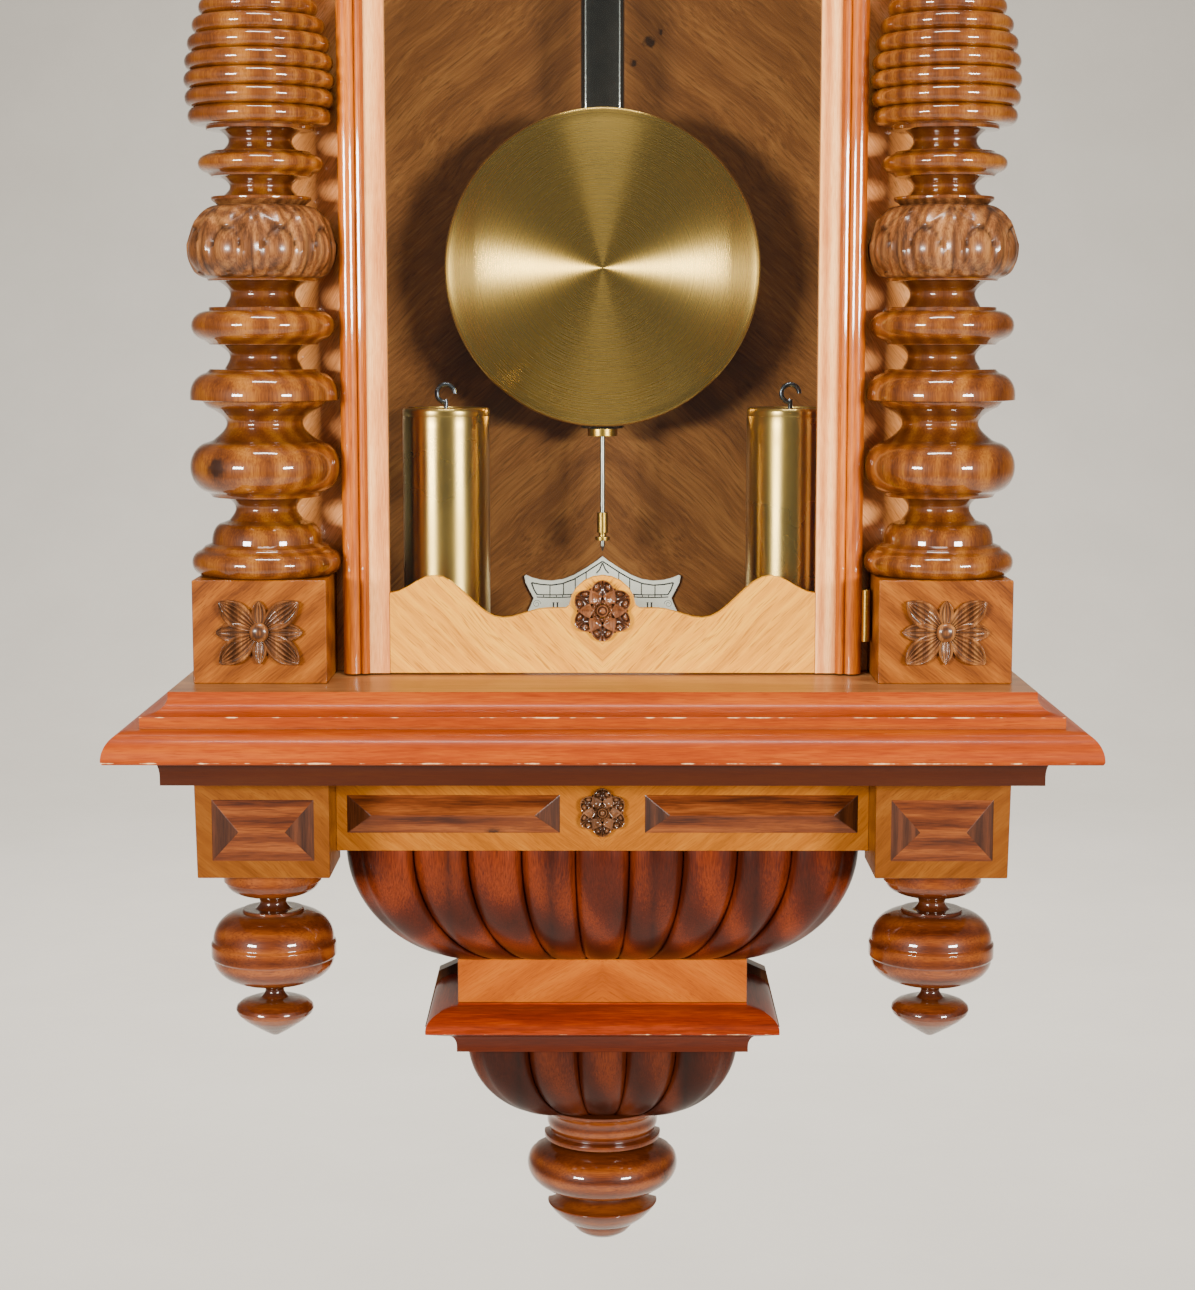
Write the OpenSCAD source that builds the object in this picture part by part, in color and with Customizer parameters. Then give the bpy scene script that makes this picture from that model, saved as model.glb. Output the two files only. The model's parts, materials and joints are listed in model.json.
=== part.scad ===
// Wall regulator clock with turned corner columns, a long glazed door, two weights and a
// wood-rod pendulum. Heights are counted from the top of the shelf that carries the columns,
// and every piece is then placed from the hole of the hanger plate, which is the origin.

/* [Case] */
// Clear width inside the case
inner_w = 304; // [296:1:320]
// Thickness of the side frames
side_t = 14; // [11:1:17]
// How far the front stiles stand in front of the dial
dial_set = 2; // [1:0.5:6]
// Thickness of the backboard
back_t = 17; // [13:1:19]
// Thickness of the front stiles
stile_t = 10; // [8:1:12]
// Clear height between the suspension and the top frieze
head_room = 92.5; // [80:0.5:130]
// Thickness of the top board of the case
top_t = 12; // [9:1:16]
// Thickness of the panes
glass_t = 2.4; // [2:0.2:3]
// Height of the hanger hole above the top frieze's lower edge
hanger_up = 68; // [60:1:80]
// Radius of the hanger hole
hanger_r = 5; // [4:0.5:6]
// Thickness of the hanger plate
hanger_t = 2.5; // [2:0.5:4]
// Border of wood around a side pane
side_border = 19; // [16:1:24]

/* [Columns and blocks] */
// Largest radius of a column
col_r = 37.5; // [36:0.5:38.5]
// How far a column's axis stands outside the side frame
col_out = 3; // [2:0.5:5]
// How far a column's axis stands in front of the front stiles
col_fwd = 16; // [14:0.5:18]
// Width and depth of a column block
block_w = 66.2; // [64:0.2:68]
// Height of a column block
block_h = 51.5; // [48:0.5:56]
// Width of a carved block flower
flower_w = 43; // [36:1:46]

/* [Shelf and friezes] */
// How far the shelf's top edge stands outside the blocks at the sides
shelf_side = 8; // [6:1:12]
// How far the shelf's top edge stands in front of the blocks
shelf_front = 27; // [22:1:32]
// Height of the shelf and of the top cornice
shelf_h = 45.2; // [43:0.2:52]
// Height of a corner block beside a frieze
corner_h = 52.8; // [48:0.2:57]
// Height of a frieze
frieze_h = 45.4; // [42:0.2:48]
// How far a frieze stands in front of the front stiles
frieze_fwd = 18; // [14:1:20]
// Height of a raised diamond panel
panel_rise = 5; // [3:0.5:7]

/* [Gadrooned base] */
// Gap between the large bowl and a corner block
bowl_in = 2.9; // [1:0.1:10]
// Height of the large bowl
bowl_h = 71.3; // [64:0.5:80]
// Width of the plinth block
plinth_w = 155.6; // [148:0.4:164]
// Height of the plinth block
plinth_h = 24.2; // [20:0.2:30]
// Height of the small moulding
mould_h = 27; // [24:0.5:32]
// Width of the small bowl
small_w = 148; // [140:1:154]
// Height of the small bowl
small_h = 51; // [46:0.5:58]
// Largest radius of the bottom finial
finial_r = 43; // [38:0.5:46]
// Radius of a corner pendant
pendant_r = 32; // [28:0.5:32.5]

/* [Door] */
// Thickness of the door frame
door_t = 17.5; // [16:0.5:19]
// Width of a door moulding
bead_w = 13; // [11:0.5:15]
// Width of the flat strip inside a moulding
strip_w = 10; // [8:0.5:12]
// Thickness of the shaped rails
rail_t = 7; // [6:0.5:8]
// Height of the bottom panel's crests
crest_h = 49.6; // [46:0.2:56]
// Height of the bottom panel's lowest dips
dip_h = 28; // [24:0.5:32]
// Radius of a hinge knuckle
knuckle_r = 2; // [1.8:0.1:2.2]
// Diameter of the door rosette
rosette_d = 31; // [26:1:34]

/* [Pendulum] */
// Length from the suspension to the middle of the bob
pend_l = 559; // [545:1:575]
// Height of the middle of the bob above the shelf
bob_z = 206; // [198:1:214]
// Radius of the bob
bob_r = 83.5; // [78:0.5:86]
// Thickness of the bob
bob_t = 26; // [22:1:27]
// Thickness of the bob at its rim
bob_rim = 16; // [12:0.5:20]
// Width of the wooden rod
rod_w = 23; // [18:0.5:26]
// Thickness of the wooden rod
rod_t = 8; // [6:0.5:9]
// Distance of the pendulum's middle from the backboard
pend_gap = 33; // [31:0.5:36]

/* [Weights] */
// Radius of a weight
weight_r = 22.5; // [20:0.5:24]
// Height of a weight's shell
weight_h = 134; // [118:1:140]
// Distance of the left weight's middle from the side of the case
weight_left_in = 71; // [64:1:78]
// Distance of the right weight's middle from the side of the case
weight_right_in = 55; // [48:1:62]

/* [Movement] */
// Depth of the going wheels' arbor below the suspension
hand_drop = 70; // [70:0.5:72]
// Width of the movement plates
plate_w = 136; // [132:1:140]
// Thickness of a movement plate
plate_t = 2; // [1.6:0.2:2.4]
// Distance of the back plate from the pendulum's middle
crutch_room = 16; // [15:0.5:18]
// Clear space between the plates
plate_gap = 36; // [35:0.5:38]
// Radius of the dial
dial_r = 90; // [84:0.5:93]
// Radius of a barrel drum
drum_r = 12; // [10:0.5:13]
// Diameter of the gut line
line_d = 1.6; // [1.2:0.1:1.7]
// Radius of a pulley's groove
groove_r = 17; // [14:0.5:19]
// Length of line below the movement
line_drop = 66; // [50:1:120]

/* [Gong] */
// Radius of the gong coil's inner turn
gong_r = 14; // [12:0.5:16]
// Distance between the gong coil's turns
gong_pitch = 9; // [7.5:0.5:10]
// Diameter of the gong rod
gong_d = 4; // [3:0.5:5]
// Turns of the gong coil
gong_turns = 4.5; // [3:0.5:5]

/* [Hidden] */
$fn = 64;
gap = 0.3;
fit = 0.05;
pend_y = back_t + pend_gap;
plate_y = pend_y + crutch_room;
inner_y0 = plate_y + plate_t;
inner_y1 = inner_y0 + plate_gap;
motion_room = 9;
dial_y = inner_y1 + plate_t + motion_room;
case_d = dial_y + dial_set;
open_h = bob_z + pend_l + head_room;
case_hw = inner_w / 2 + side_t;
col_x = case_hw + col_out;
col_y = case_d + col_fwd;
block_y0 = col_y - block_w / 2;
block_y1 = col_y + block_w / 2;
block_x1 = col_x + block_w / 2;
shelf_hw = block_x1 + shelf_side;
shelf_y = block_y1 + shelf_front;
corner_x = col_x - block_w / 2;
front_y = case_d + frieze_fwd;
hanger_z = open_h + hanger_up;
susp_z = bob_z + pend_l;
dial_z = susp_z - hand_drop;
door_hw = col_x - col_r - 0.8;
door_y0 = case_d + 0.5;
door_y1 = door_y0 + door_t;
light_hw = door_hw - bead_w - strip_w;

module from_hanger() {
    translate([0, 0, -hanger_z])
        children();
}

module both_sides() {
    children();
    mirror([1, 0, 0])
        children();
}

// A box given by its lowest and highest corners, with depth counted forward from the wall
module board(x0, x1, y0, y1, z0, z1) {
    translate([x0, -y1, z0])
        cube([x1 - x0, y1 - y0, z1 - z0]);
}

// A cylinder along the depth, from y0 to y1 forward of the wall
module along_y(x, z, r, y0, y1) {
    translate([x, -y0, z])
        rotate([90, 0, 0])
            cylinder(r = r, h = y1 - y0);
}

// A flat outline, extruded along the depth from y0 to y1 forward of the wall
module plate_y_z(y0, y1) {
    translate([0, -y0, 0])
        rotate([90, 0, 0])
            linear_extrude(y1 - y0)
                children();
}

function bead(z0, z1, r0, r1, n = 6) =
    [for (i = [0 : n]) [r0 + (r1 - r0) * sin(180 * i / n), z0 + (z1 - z0) * (1 - cos(180 * i / n)) / 2]];
function cove(z0, z1, ra, rn, rb, n = 6) =
    [for (i = [0 : n]) let (t = i / n, e = ra + (rb - ra) * t) [e - (e - rn) * sin(180 * t), z0 + (z1 - z0) * t]];
function swell(z0, z1, r0, r1, n = 5) =
    [for (i = [0 : n]) [r0 + (r1 - r0) * sin(90 * i / n), z0 + (z1 - z0) * (1 - cos(90 * i / n))]];
function taper(z0, z1, r0, r1, n = 5) =
    [for (i = [0 : n]) [r1 + (r0 - r1) * cos(90 * i / n), z0 + (z1 - z0) * sin(90 * i / n)]];
function fillet(z0, z1, r) = [[r, z0], [r, z1]];
function turned_over(points, top) =
    [for (i = [len(points) - 1 : -1 : 0]) [points[i][0], top - points[i][1]]];
function scaled_r(points, k) = [for (p = points) [p[0] * k, p[1]]];
function ease(a, b, n = 6) =
    [for (i = [1 : n]) [a[0] + (b[0] - a[0]) * i / n, a[1] + (b[1] - a[1]) * (1 - cos(180 * i / n)) / 2]];
function flipped(points) = [for (i = [len(points) - 1 : -1 : 0]) [-points[i][0], points[i][1]]];

module turned(points) {
    rotate_extrude($fn = 96)
        polygon(concat([[0, points[0][1]]], points, [[0, points[len(points) - 1][1]]]));
}

// The members of a column's foot, counted up from the block; the capital is the same, turned over
foot_h = 133.2;
function foot() = concat(
    bead(0, 12.8, 31.3, col_r), fillet(12.8, 14.4, 31.3), taper(16, 26.1, 27.5, 21.9),
    cove(27.5, 39.2, 18.5, 15.3, 20), fillet(39.2, 41.4, 27), bead(41.4, 66.6, 27, col_r, 8),
    cove(66.6, 85, 27, 19, 30.6), fillet(85, 86.9, 30.6), fillet(87.4, 89.8, col_r - 0.6),
    taper(90, 101.1, col_r - 0.6, 27.2), fillet(101.1, 102.7, 27.2), cove(102.7, 114.8, 19.5, 16.8, 23),
    fillet(114.8, 116.6, 27), bead(116.6, 131.6, 27, col_r - 1.8), fillet(131.6, foot_h, 26.8)
);
rib_pitch = 8.7;
rib_count = 8;
barrel_z = 273.2 - block_h;
function barrel_r(z) = col_r - 0.5 - 0.0062 * pow(z - barrel_z - 20.8, 2);
function ribs() = [for (i = [0 : rib_count - 1]) let (z = barrel_z + rib_pitch * i, r = barrel_r(z + rib_pitch / 2))
    each bead(z, z + rib_pitch, r - 4, r, 4)];
body_z = foot_h;
function body() = concat(
    cove(body_z, body_z + 12.8, 19, 16.1, 22), fillet(body_z + 12.8, body_z + 14.3, 27),
    swell(body_z + 14.3, body_z + 27.3, 27, col_r - 0.2), taper(body_z + 28, body_z + 49.8, col_r - 0.2, 21.3),
    fillet(body_z + 52.5, body_z + 53.9, 24.7), cove(body_z + 53.9, body_z + 63.7, 19.5, 15.3, 20),
    fillet(body_z + 63.7, body_z + 65.3, 24.5), bead(body_z + 65.3, body_z + 74.8, 24.5, 30.8),
    fillet(body_z + 74.8, body_z + 75.9, 24.5), cove(body_z + 75.9, barrel_z - 2.2, 19.5, 15.6, 20),
    fillet(barrel_z - 2.2, barrel_z - 0.5, 26.5)
);
ribs_end = barrel_z + rib_pitch * rib_count;
shaft_z0 = ribs_end + 27;
col_h = open_h - 2 * block_h;
shaft_z1 = col_h - foot_h - 24;
function shaft() = concat(
    fillet(ribs_end + 0.3, ribs_end + 2, 20), cove(ribs_end + 2, ribs_end + 14, 17, 14.5, 18),
    fillet(ribs_end + 14, ribs_end + 16.5, 25), bead(ribs_end + 16.5, ribs_end + 25, 25, 30),
    fillet(ribs_end + 25, shaft_z0, 24.5),
    [for (i = [0 : 8]) let (t = i / 8) [23 - 3.5 * t + 1.6 * sin(180 * t), shaft_z0 + 0.5 + (shaft_z1 - shaft_z0 - 1) * t]],
    fillet(shaft_z1, shaft_z1 + 1.8, 23.5), bead(shaft_z1 + 1.8, shaft_z1 + 10, 23.5, 28.5),
    fillet(shaft_z1 + 10, shaft_z1 + 11.5, 23.5), cove(shaft_z1 + 11.5, shaft_z1 + 24, 18, 14.5, 19)
);

module case_corner(z0, z1) {
    board(0, case_hw + gap, -1, case_d + gap, z0, z1);
}

module column() {
    difference() {
        translate([col_x, -col_y, block_h])
            turned(concat(foot(), body(), ribs(), shaft(), turned_over(foot(), col_h)));
        case_corner(block_h - 1, open_h);
    }
}

module column_left() {
    from_hanger()
        color("#8f4f1c")
            mirror([1, 0, 0])
                column();
}

module column_right() {
    from_hanger()
        color("#8f4f1c")
            column();
}

module square_block(z0, z1) {
    difference() {
        translate([col_x, -col_y, 0])
            board(-block_w / 2, block_w / 2, -block_w / 2, block_w / 2, z0, z1);
        case_corner(z0 - 1, z1 + 1);
    }
}

module column_blocks() {
    from_hanger()
        color("#7a4a28")
            both_sides() {
                square_block(0, block_h);
                square_block(open_h - block_h, open_h);
            }
}

// A leaf with a pointed tip, lying flat with its foot at the middle
module leaf(length, width, rise) {
    half = concat([[0, 0]], [for (i = [1 : 5]) [length * i / 6, width / 2 * sin(180 * pow(i / 6, 0.8))]], [[length, 0]]);
    linear_extrude(rise)
        polygon(concat(half, [for (i = [5 : -1 : 1]) [half[i][0], -half[i][1]]]));
}

// Four long leaves lie on the diagonals, and shorter ones point sideways, up and down
module flower(width, rise) {
    boss_r = width * 0.107;
    for (turn = [0, 180])
        rotate([0, 0, turn]) {
            leaf(width * 0.5, width * 0.2, rise * 0.5);
            for (tilt = [-38, 38])
                rotate([0, 0, tilt])
                    leaf(width * 0.55, width * 0.27, rise * 0.6);
            rotate([0, 0, 90])
                leaf(width * 0.37, width * 0.22, rise * 0.5);
        }
    cylinder(r = boss_r * 1.6, h = rise * 0.75);
    cylinder(r = boss_r, h = rise);
}

// Five round petals about a boss, cut as one outline
function petal_outline(r) = [for (i = [0 : 59]) let (a = 6 * i, q = r * (0.8 + 0.2 * pow(abs(sin(2.5 * a)), 0.7)))
    q * [cos(a + 90), sin(a + 90)]];
module rosette(diameter, rise) {
    linear_extrude(rise * 0.6)
        polygon(petal_outline(diameter / 2));
    translate([0, 0, rise * 0.5])
        cylinder(r = diameter * 0.15, h = rise * 0.5);
}

module on_front(x, y, z) {
    translate([x, -y, z])
        rotate([90, 0, 0])
            children();
}

flower_rise = 4;
module block_flowers() {
    from_hanger()
        color("#80583a")
            both_sides()
                for (z = [block_h / 2, open_h - block_h / 2])
                    on_front(col_x, block_y1, z)
                        flower(flower_w, flower_rise);
}

// Outline of the shelf's moulding: how far it stands out, against the height below its top edge
step_p = 11.8;
ovolo_p = 27.8;
foot_p = 4;
cove_top = 31.2;
cove_h = 9.8;
function shelf_profile() = concat(
    [[0, 0]], [for (i = [0 : 4]) [step_p * (1 - cos(90 * i / 4)), -2.4 - 8.1 * sin(90 * i / 4)]],
    [[step_p, -16.2]],
    [for (i = [0 : 5]) [step_p + 4.4 + (ovolo_p - step_p - 4.4) * sin(90 * i / 5), -29.8 + 13.6 * cos(90 * i / 5)]],
    [[ovolo_p - 0.8, -cove_top]],
    [for (i = [0 : 3]) [foot_p + 5 * (1 - sin(90 * i / 3)), -cove_top - cove_h * (1 - cos(90 * i / 3))]],
    [[foot_p, -shelf_h]]
);

// A mitred moulding round the front and the two sides, which ends at the wall
module moulded(profile, hw, depth, z_top) {
    n = len(profile);
    intersection() {
        plate_y_z(-1, depth + 60)
            polygon(concat(
                [for (i = [0 : n - 1]) [hw + profile[i][0], z_top + profile[i][1]]],
                [for (i = [n - 1 : -1 : 0]) [-hw - profile[i][0], z_top + profile[i][1]]]));
        translate([hw + 60, 0, 0])
            rotate([90, 0, -90])
                linear_extrude(2 * hw + 120)
                    polygon(concat(
                        [for (i = [0 : n - 1]) [depth + profile[i][0], z_top + profile[i][1]]],
                        [[0, z_top + profile[n - 1][1]], [0, z_top]]));
    }
}

shelf_floor = 12;
module shelf() {
    from_hanger()
        color("#9c4a22")
            difference() {
                moulded(shelf_profile(), shelf_hw, shelf_y, 0);
                board(-case_hw + side_t, case_hw - side_t, back_t, case_d, -shelf_h - 1, -shelf_floor);
            }
}

cornice_z0 = open_h + corner_h;
cornice_z1 = cornice_z0 + shelf_h;
module top_cornice() {
    from_hanger()
        color("#9c4a22")
            difference() {
                translate([0, 0, cornice_z0])
                    mirror([0, 0, 1])
                        moulded(shelf_profile(), shelf_hw, shelf_y, 0);
                board(-inner_w / 2 - gap, inner_w / 2 + gap, -1, back_t + gap, cornice_z0 - 1, cornice_z1 + 1);
                board(-inner_w / 2, inner_w / 2, back_t + 14, case_d, cornice_z0 - 1, cornice_z1 - shelf_floor);
            }
}

frieze_wall = 12;
module frieze_box(z0, z1, floor_t = -1) {
    difference() {
        union() {
            board(-corner_x, corner_x, case_d, front_y, z0, z1);
            board(-case_hw, case_hw, 0, case_d, z0, z1);
        }
        board(-case_hw + frieze_wall, case_hw - frieze_wall, back_t, case_d - frieze_wall, z0 + floor_t, z1 + 1);
    }
}

lower_z1 = -shelf_h;
lower_z0 = lower_z1 - frieze_h;
corner_z0 = lower_z1 - corner_h;
module lower_frieze() {
    from_hanger()
        color("#8a5128")
            frieze_box(lower_z0, lower_z1, frieze_wall);
}

module top_frieze() {
    from_hanger()
        color("#8a5128")
            difference() {
                frieze_box(open_h, cornice_z0);
                board(-inner_w / 2 - gap, inner_w / 2 + gap, -1, back_t + gap, open_h - 1, cornice_z0 + 1);
            }
}

corner_taper = 1;
module corner_blocks() {
    corner_x1 = block_w / 2 + corner_taper;
    from_hanger()
        color("#7d4c2a")
            both_sides()
                for (z = [corner_z0, open_h])
                    difference() {
                        translate([col_x, -col_y, z])
                            plate_y_z(-block_w / 2, block_w / 2)
                                polygon([
                                    [-block_w / 2, 0], [block_w / 2, 0],
                                    [corner_x1, corner_h], [-block_w / 2, corner_h]
                                ]);
                        case_corner(z - 1, z + corner_h + 1);
                    }
}

// A raised panel with four sloping faces that meet in a ridge
module hipped(w, h, ridge, rise) {
    polyhedron(
        points = [
            [-w / 2, -h / 2, 0], [w / 2, -h / 2, 0], [w / 2, h / 2, 0], [-w / 2, h / 2, 0],
            [-ridge / 2, 0, rise], [ridge / 2, 0, rise]
        ],
        faces = [[0, 1, 2, 3], [0, 4, 5, 1], [1, 5, 2], [2, 5, 4, 3], [3, 4, 0]]);
}

panel_border = 7;
corner_panel_w = block_w - 2 * panel_border - 1;
corner_panel_low = 8.7;
corner_panel_h = corner_h - corner_panel_low - 12.8;
rosette_room = 21.5;
frieze_margin = 5.4;
frieze_panel_w = corner_x - frieze_margin - rosette_room;
frieze_panel_low = 9.2;
frieze_panel_h = frieze_h - frieze_panel_low - 16.2;
frieze_panel_z = lower_z0 + frieze_panel_low + frieze_panel_h / 2;
frieze_panel_x = rosette_room + frieze_panel_w / 2;
module diamond_panels() {
    from_hanger()
        color("#8b4a1f")
            both_sides() {
                for (z = [corner_z0 + corner_panel_low + corner_panel_h / 2, open_h + corner_h / 2])
                    on_front(col_x, block_y1, z)
                        hipped(corner_panel_w, corner_panel_h, corner_panel_w - corner_panel_h + 3, panel_rise);
                for (z = [frieze_panel_z, open_h + corner_h / 2])
                    on_front(frieze_panel_x, front_y, z)
                        hipped(frieze_panel_w, frieze_panel_h, frieze_panel_w - 26, panel_rise);
            }
}

frieze_rosette_d = 25;
module frieze_rosettes() {
    from_hanger()
        color("#7e6046")
            for (z = [frieze_panel_z + 1, open_h + corner_h / 2])
                on_front(0, front_y, z)
                    rosette(frieze_rosette_d, flower_rise);
}

module pendant() {
    k = pendant_r / 32;
    translate([col_x, -col_y, corner_z0])
        turned(scaled_r(concat(
            bead(-90, -70, 0.4, 20), cove(-69.5, -62, 9, 4.5, 9, 4),
            swell(-61, -48, 13, 31), fillet(-47.1, -40.5, 32), taper(-39, -24.1, 31, 15.7),
            fillet(-24, -22.8, 15.7), cove(-22.8, -15.5, 9, 6.8, 9, 4),
            swell(-15, -8, 12, 24), fillet(-8, 0, 25)
        ), k));
}

// A bowl on a rectangular plan whose front and sides are carved in convex lobes
bowl_rows = 7;
lobe_steps = 5;
function lobe_row(hw, depth, groove, lobes_front, lobes_side, z) =
    let (inset = function (u) groove * (1 - sqrt(max(0, 1 - pow(2 * (u - floor(u)) - 1, 2)))))
    concat(
        [for (i = [0 : lobes_side * lobe_steps - 1]) let (t = i / (lobes_side * lobe_steps))
            [-hw + inset(i / lobe_steps), -(depth - groove) * t, z]],
        [for (i = [0 : lobes_front * lobe_steps - 1]) let (t = i / (lobes_front * lobe_steps))
            [-hw + groove + (2 * hw - 2 * groove) * t, -depth + inset(i / lobe_steps), z]],
        [for (i = [0 : lobes_side * lobe_steps]) let (t = i / (lobes_side * lobe_steps))
            [hw - inset(i / lobe_steps), -(depth - groove) * (1 - t), z]]
    );
function bowl_profile(t, w0, w1, k) = w1 + (w0 - w1) * pow(max(0, 1 - t * t), k);

// The straight-sided outline inside the lobes, so that an end face can be cut in plain triangles
function cap_row(row, hw, depth, groove) = [for (p = row) [
    sign(p[0]) * min(abs(p[0]), hw - groove - 1), min(-1, max(p[1], -(depth - groove - 1))), p[2]]];

module lobed_bowl(w0, w1, h, k, groove0, groove1, lobes_front, lobes_side, extra_depth) {
    rows = [for (j = [0 : bowl_rows]) let (t = sin(90 * j / bowl_rows), w = bowl_profile(t, w0, w1, k))
        lobe_row(w, w + extra_depth, groove1 + (groove0 - groove1) * (w - w1) / (w0 - w1),
            lobes_front, lobes_side, -h * t)];
    n = len(rows[0]);
    loops = concat([cap_row(rows[0], w0, w0 + extra_depth, groove0)], rows,
        [cap_row(rows[bowl_rows], w1, w1 + extra_depth, groove1)]);
    last = len(loops) - 1;
    points = concat([for (loop = loops) each loop], [[0, -w0 / 2, 0], [0, -w1 / 2, -h]]);
    sides = [for (j = [0 : last - 1], i = [0 : n - 1]) let (a = j * n + i, b = j * n + (i + 1) % n)
        each [[a, b, a + n], [b, b + n, a + n]]];
    top = [for (i = [0 : n - 1]) [(i + 1) % n, i, n * (last + 1)]];
    bottom = [for (i = [0 : n - 1]) [last * n + i, last * n + (i + 1) % n, n * (last + 1) + 1]];
    polyhedron(points = points, faces = concat(sides, top, bottom), convexity = 6);
}

bowl_z0 = lower_z0 - bowl_h;
bowl_hw = corner_x - bowl_in;
module gadroon_bowl() {
    from_hanger()
        color("#6b2f16")
            translate([0, 0, lower_z0])
                lobed_bowl(bowl_hw, plinth_w / 2, bowl_h, 0.7, 8, 4.5, 9, 5, front_y - bowl_hw);
}

plinth_z0 = bowl_z0 - plinth_h;
module plinths() {
    hw = small_w / 2 + 10;
    from_hanger()
        color("#a8672c") {
            board(-plinth_w / 2, plinth_w / 2, wing_t, plinth_w / 2 + 1, plinth_z0, bowl_z0);
            translate([0, -crest_y, crest_z0]) {
                board(-hw, hw, 0, hw + 4, 0, crest_plinth_h - 4);
                board(-hw + 5, hw - 5, 0, hw - 1, crest_plinth_h - 4, crest_plinth_h);
            }
        }
}

small_z1 = plinth_z0 - mould_h;
wing_t = 12;
wing_w = 23;
wing_h = 57;
module wall_plate() {
    mh = plinth_w / 2;
    neck = mh - wing_w / 4;
    half = [
        [neck, bowl_z0 - wing_h * 0.05], [mh + wing_w * 0.05, bowl_z0 - wing_h * 0.32],
        [mh + wing_w * 0.65, bowl_z0 - wing_h * 0.43], [mh + wing_w, bowl_z0 - wing_h],
        [mh + wing_w * 0.83, bowl_z0 - wing_h * 1.04], [mh + wing_w * 0.1, small_z1], [neck, small_z1]
    ];
    from_hanger()
        color("#5a3720")
            plate_y_z(0, wing_t)
                polygon(concat(half, flipped(half)));
}

mould_p = 16.7;
module small_moulding() {
    mh = plinth_w / 2;
    from_hanger()
        color("#8a4a20")
            difference() {
                moulded(concat(
                    [[0, 0]], [for (i = [0 : 5]) [mould_p * sin(90 * i / 5), -11 + 10 * cos(90 * i / 5)]],
                    [[mould_p, -13]], [for (i = [0 : 4]) [6 * (1 - sin(90 * i / 4)) + 0.8, -24 + 7.5 * cos(90 * i / 4)]],
                    [[0.8, -mould_h]]
                ), mh, mh + 1, plinth_z0);
                board(-2 * mh, 2 * mh, -1, wing_t, small_z1 - 1, plinth_z0 + 1);
            }
}

small_z0 = small_z1 - small_h;
small_end = 33;
module lesser_bowl() {
    lobed_bowl(small_w / 2, small_end, small_h, 0.68, 7, 3, 5, 3, -1.4);
}

module small_bowls() {
    from_hanger()
        color("#70331a") {
            translate([0, 0, small_z1])
                lesser_bowl();
            translate([0, -crest_y, crest_bowl_z])
                mirror([0, 0, 1])
                    lesser_bowl();
        }
}

module bottom_finial() {
    k = finial_r / 43;
    from_hanger()
        color("#6c381c")
            intersection() {
                translate([0, -4, small_z0])
                    turned(scaled_r(concat(
                        bead(-80, -57.5, 0.4, 31.5), cove(-56.5, -52.5, 28, 22, 28, 4), bead(-50, -22, 25, 43, 8),
                        fillet(-20, -17.5, 33.2), fillet(-16.5, -15, 30), cove(-14, -2, 30.5, 31.5, 35, 4),
                        fillet(-1.5, 0, 36)
                    ), k));
                board(-60, 60, 0, 80, small_z0 - 100, small_z0 + 1);
            }
}

crest_z0 = cornice_z1;
crest_plinth_h = 16;
crest_y = 22;
crest_bowl_z = crest_z0 + crest_plinth_h;
crest_finial_z = crest_bowl_z + small_h;
module crest_finial() {
    from_hanger()
        color("#6c381c")
            translate([0, -crest_y - small_end / 2 - 1, crest_finial_z])
                turned(scaled_r(concat(
                    fillet(0, 3, 15), cove(3, 10, 12, 8, 12, 4), fillet(10, 12, 16), bead(12, 34, 14, 24, 8),
                    fillet(34, 36, 15), cove(36, 43, 10, 6, 9, 4), bead(43, 62, 4, 11), [[1, 66]]
                ), 1));
}

module top_urn() {
    k = pendant_r / 32;
    translate([col_x, -col_y, crest_z0]) {
        board(-27, 27, -27, 27, 0, 14);
        translate([0, 0, 14])
            turned(scaled_r(concat(
                fillet(0, 3, 20), cove(3, 12, 14, 8, 13, 4), fillet(12, 14, 18), swell(14, 30, 16, 24),
                fillet(30.5, 35, 25), taper(36, 50, 23, 12), fillet(50, 52, 13),
                cove(52, 57, 7, 5, 7, 4), bead(57, 76, 4, 10), [[0.8, 80]]
            ), k));
    }
}

module corner_finials() {
    from_hanger()
        color("#6e3a1a")
            both_sides() {
                pendant();
                top_urn();
            }
}

module backboard() {
    from_hanger()
        color("#4c2c18")
            difference() {
                board(-inner_w / 2, inner_w / 2, 0, back_t, 0, cornice_z1 - 3);
                board(-plate_hw - gap, plate_hw + gap, -1, hanger_t + gap, hanger_z - 26, hanger_z + 20);
                along_y(0, hanger_z, hanger_r + 4, -1, back_t - 2);
            }
}

plate_hw = 30;
module hanger_plate() {
    from_hanger()
        color("#9a9a96")
            difference() {
                board(-plate_hw, plate_hw, 0, hanger_t, hanger_z - 25.5, hanger_z + 19.5);
                along_y(0, hanger_z, hanger_r, -1, hanger_t + 1);
            }
}

pane_z0 = 50;
pane_z1 = open_h - 50;
pane_y0 = side_border;
pane_y1 = case_d - stile_t - side_border;
pane_lap = 3;
module side_frames() {
    from_hanger()
        color("#8a5228")
            both_sides()
                difference() {
                    board(inner_w / 2, case_hw, 0, case_d - stile_t, 0, open_h);
                    board(inner_w / 2 - 1, case_hw + 1, pane_y0, pane_y1, pane_z0, pane_z1);
                    board(inner_w / 2 - 1, inner_w / 2 + glass_t + gap + 1, pane_y0 - pane_lap, pane_y1 + pane_lap,
                        pane_z0 - pane_lap, pane_z1 + pane_lap);
                }
}

module side_panes() {
    x0 = inner_w / 2 + 1;
    from_hanger()
        color([0.8, 0.85, 0.85, 0.4])
            both_sides()
                board(x0, x0 + glass_t, pane_y0 - pane_lap + gap, pane_y1 + pane_lap - gap,
                    pane_z0 - pane_lap + gap, pane_z1 + pane_lap - gap);
}

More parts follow.
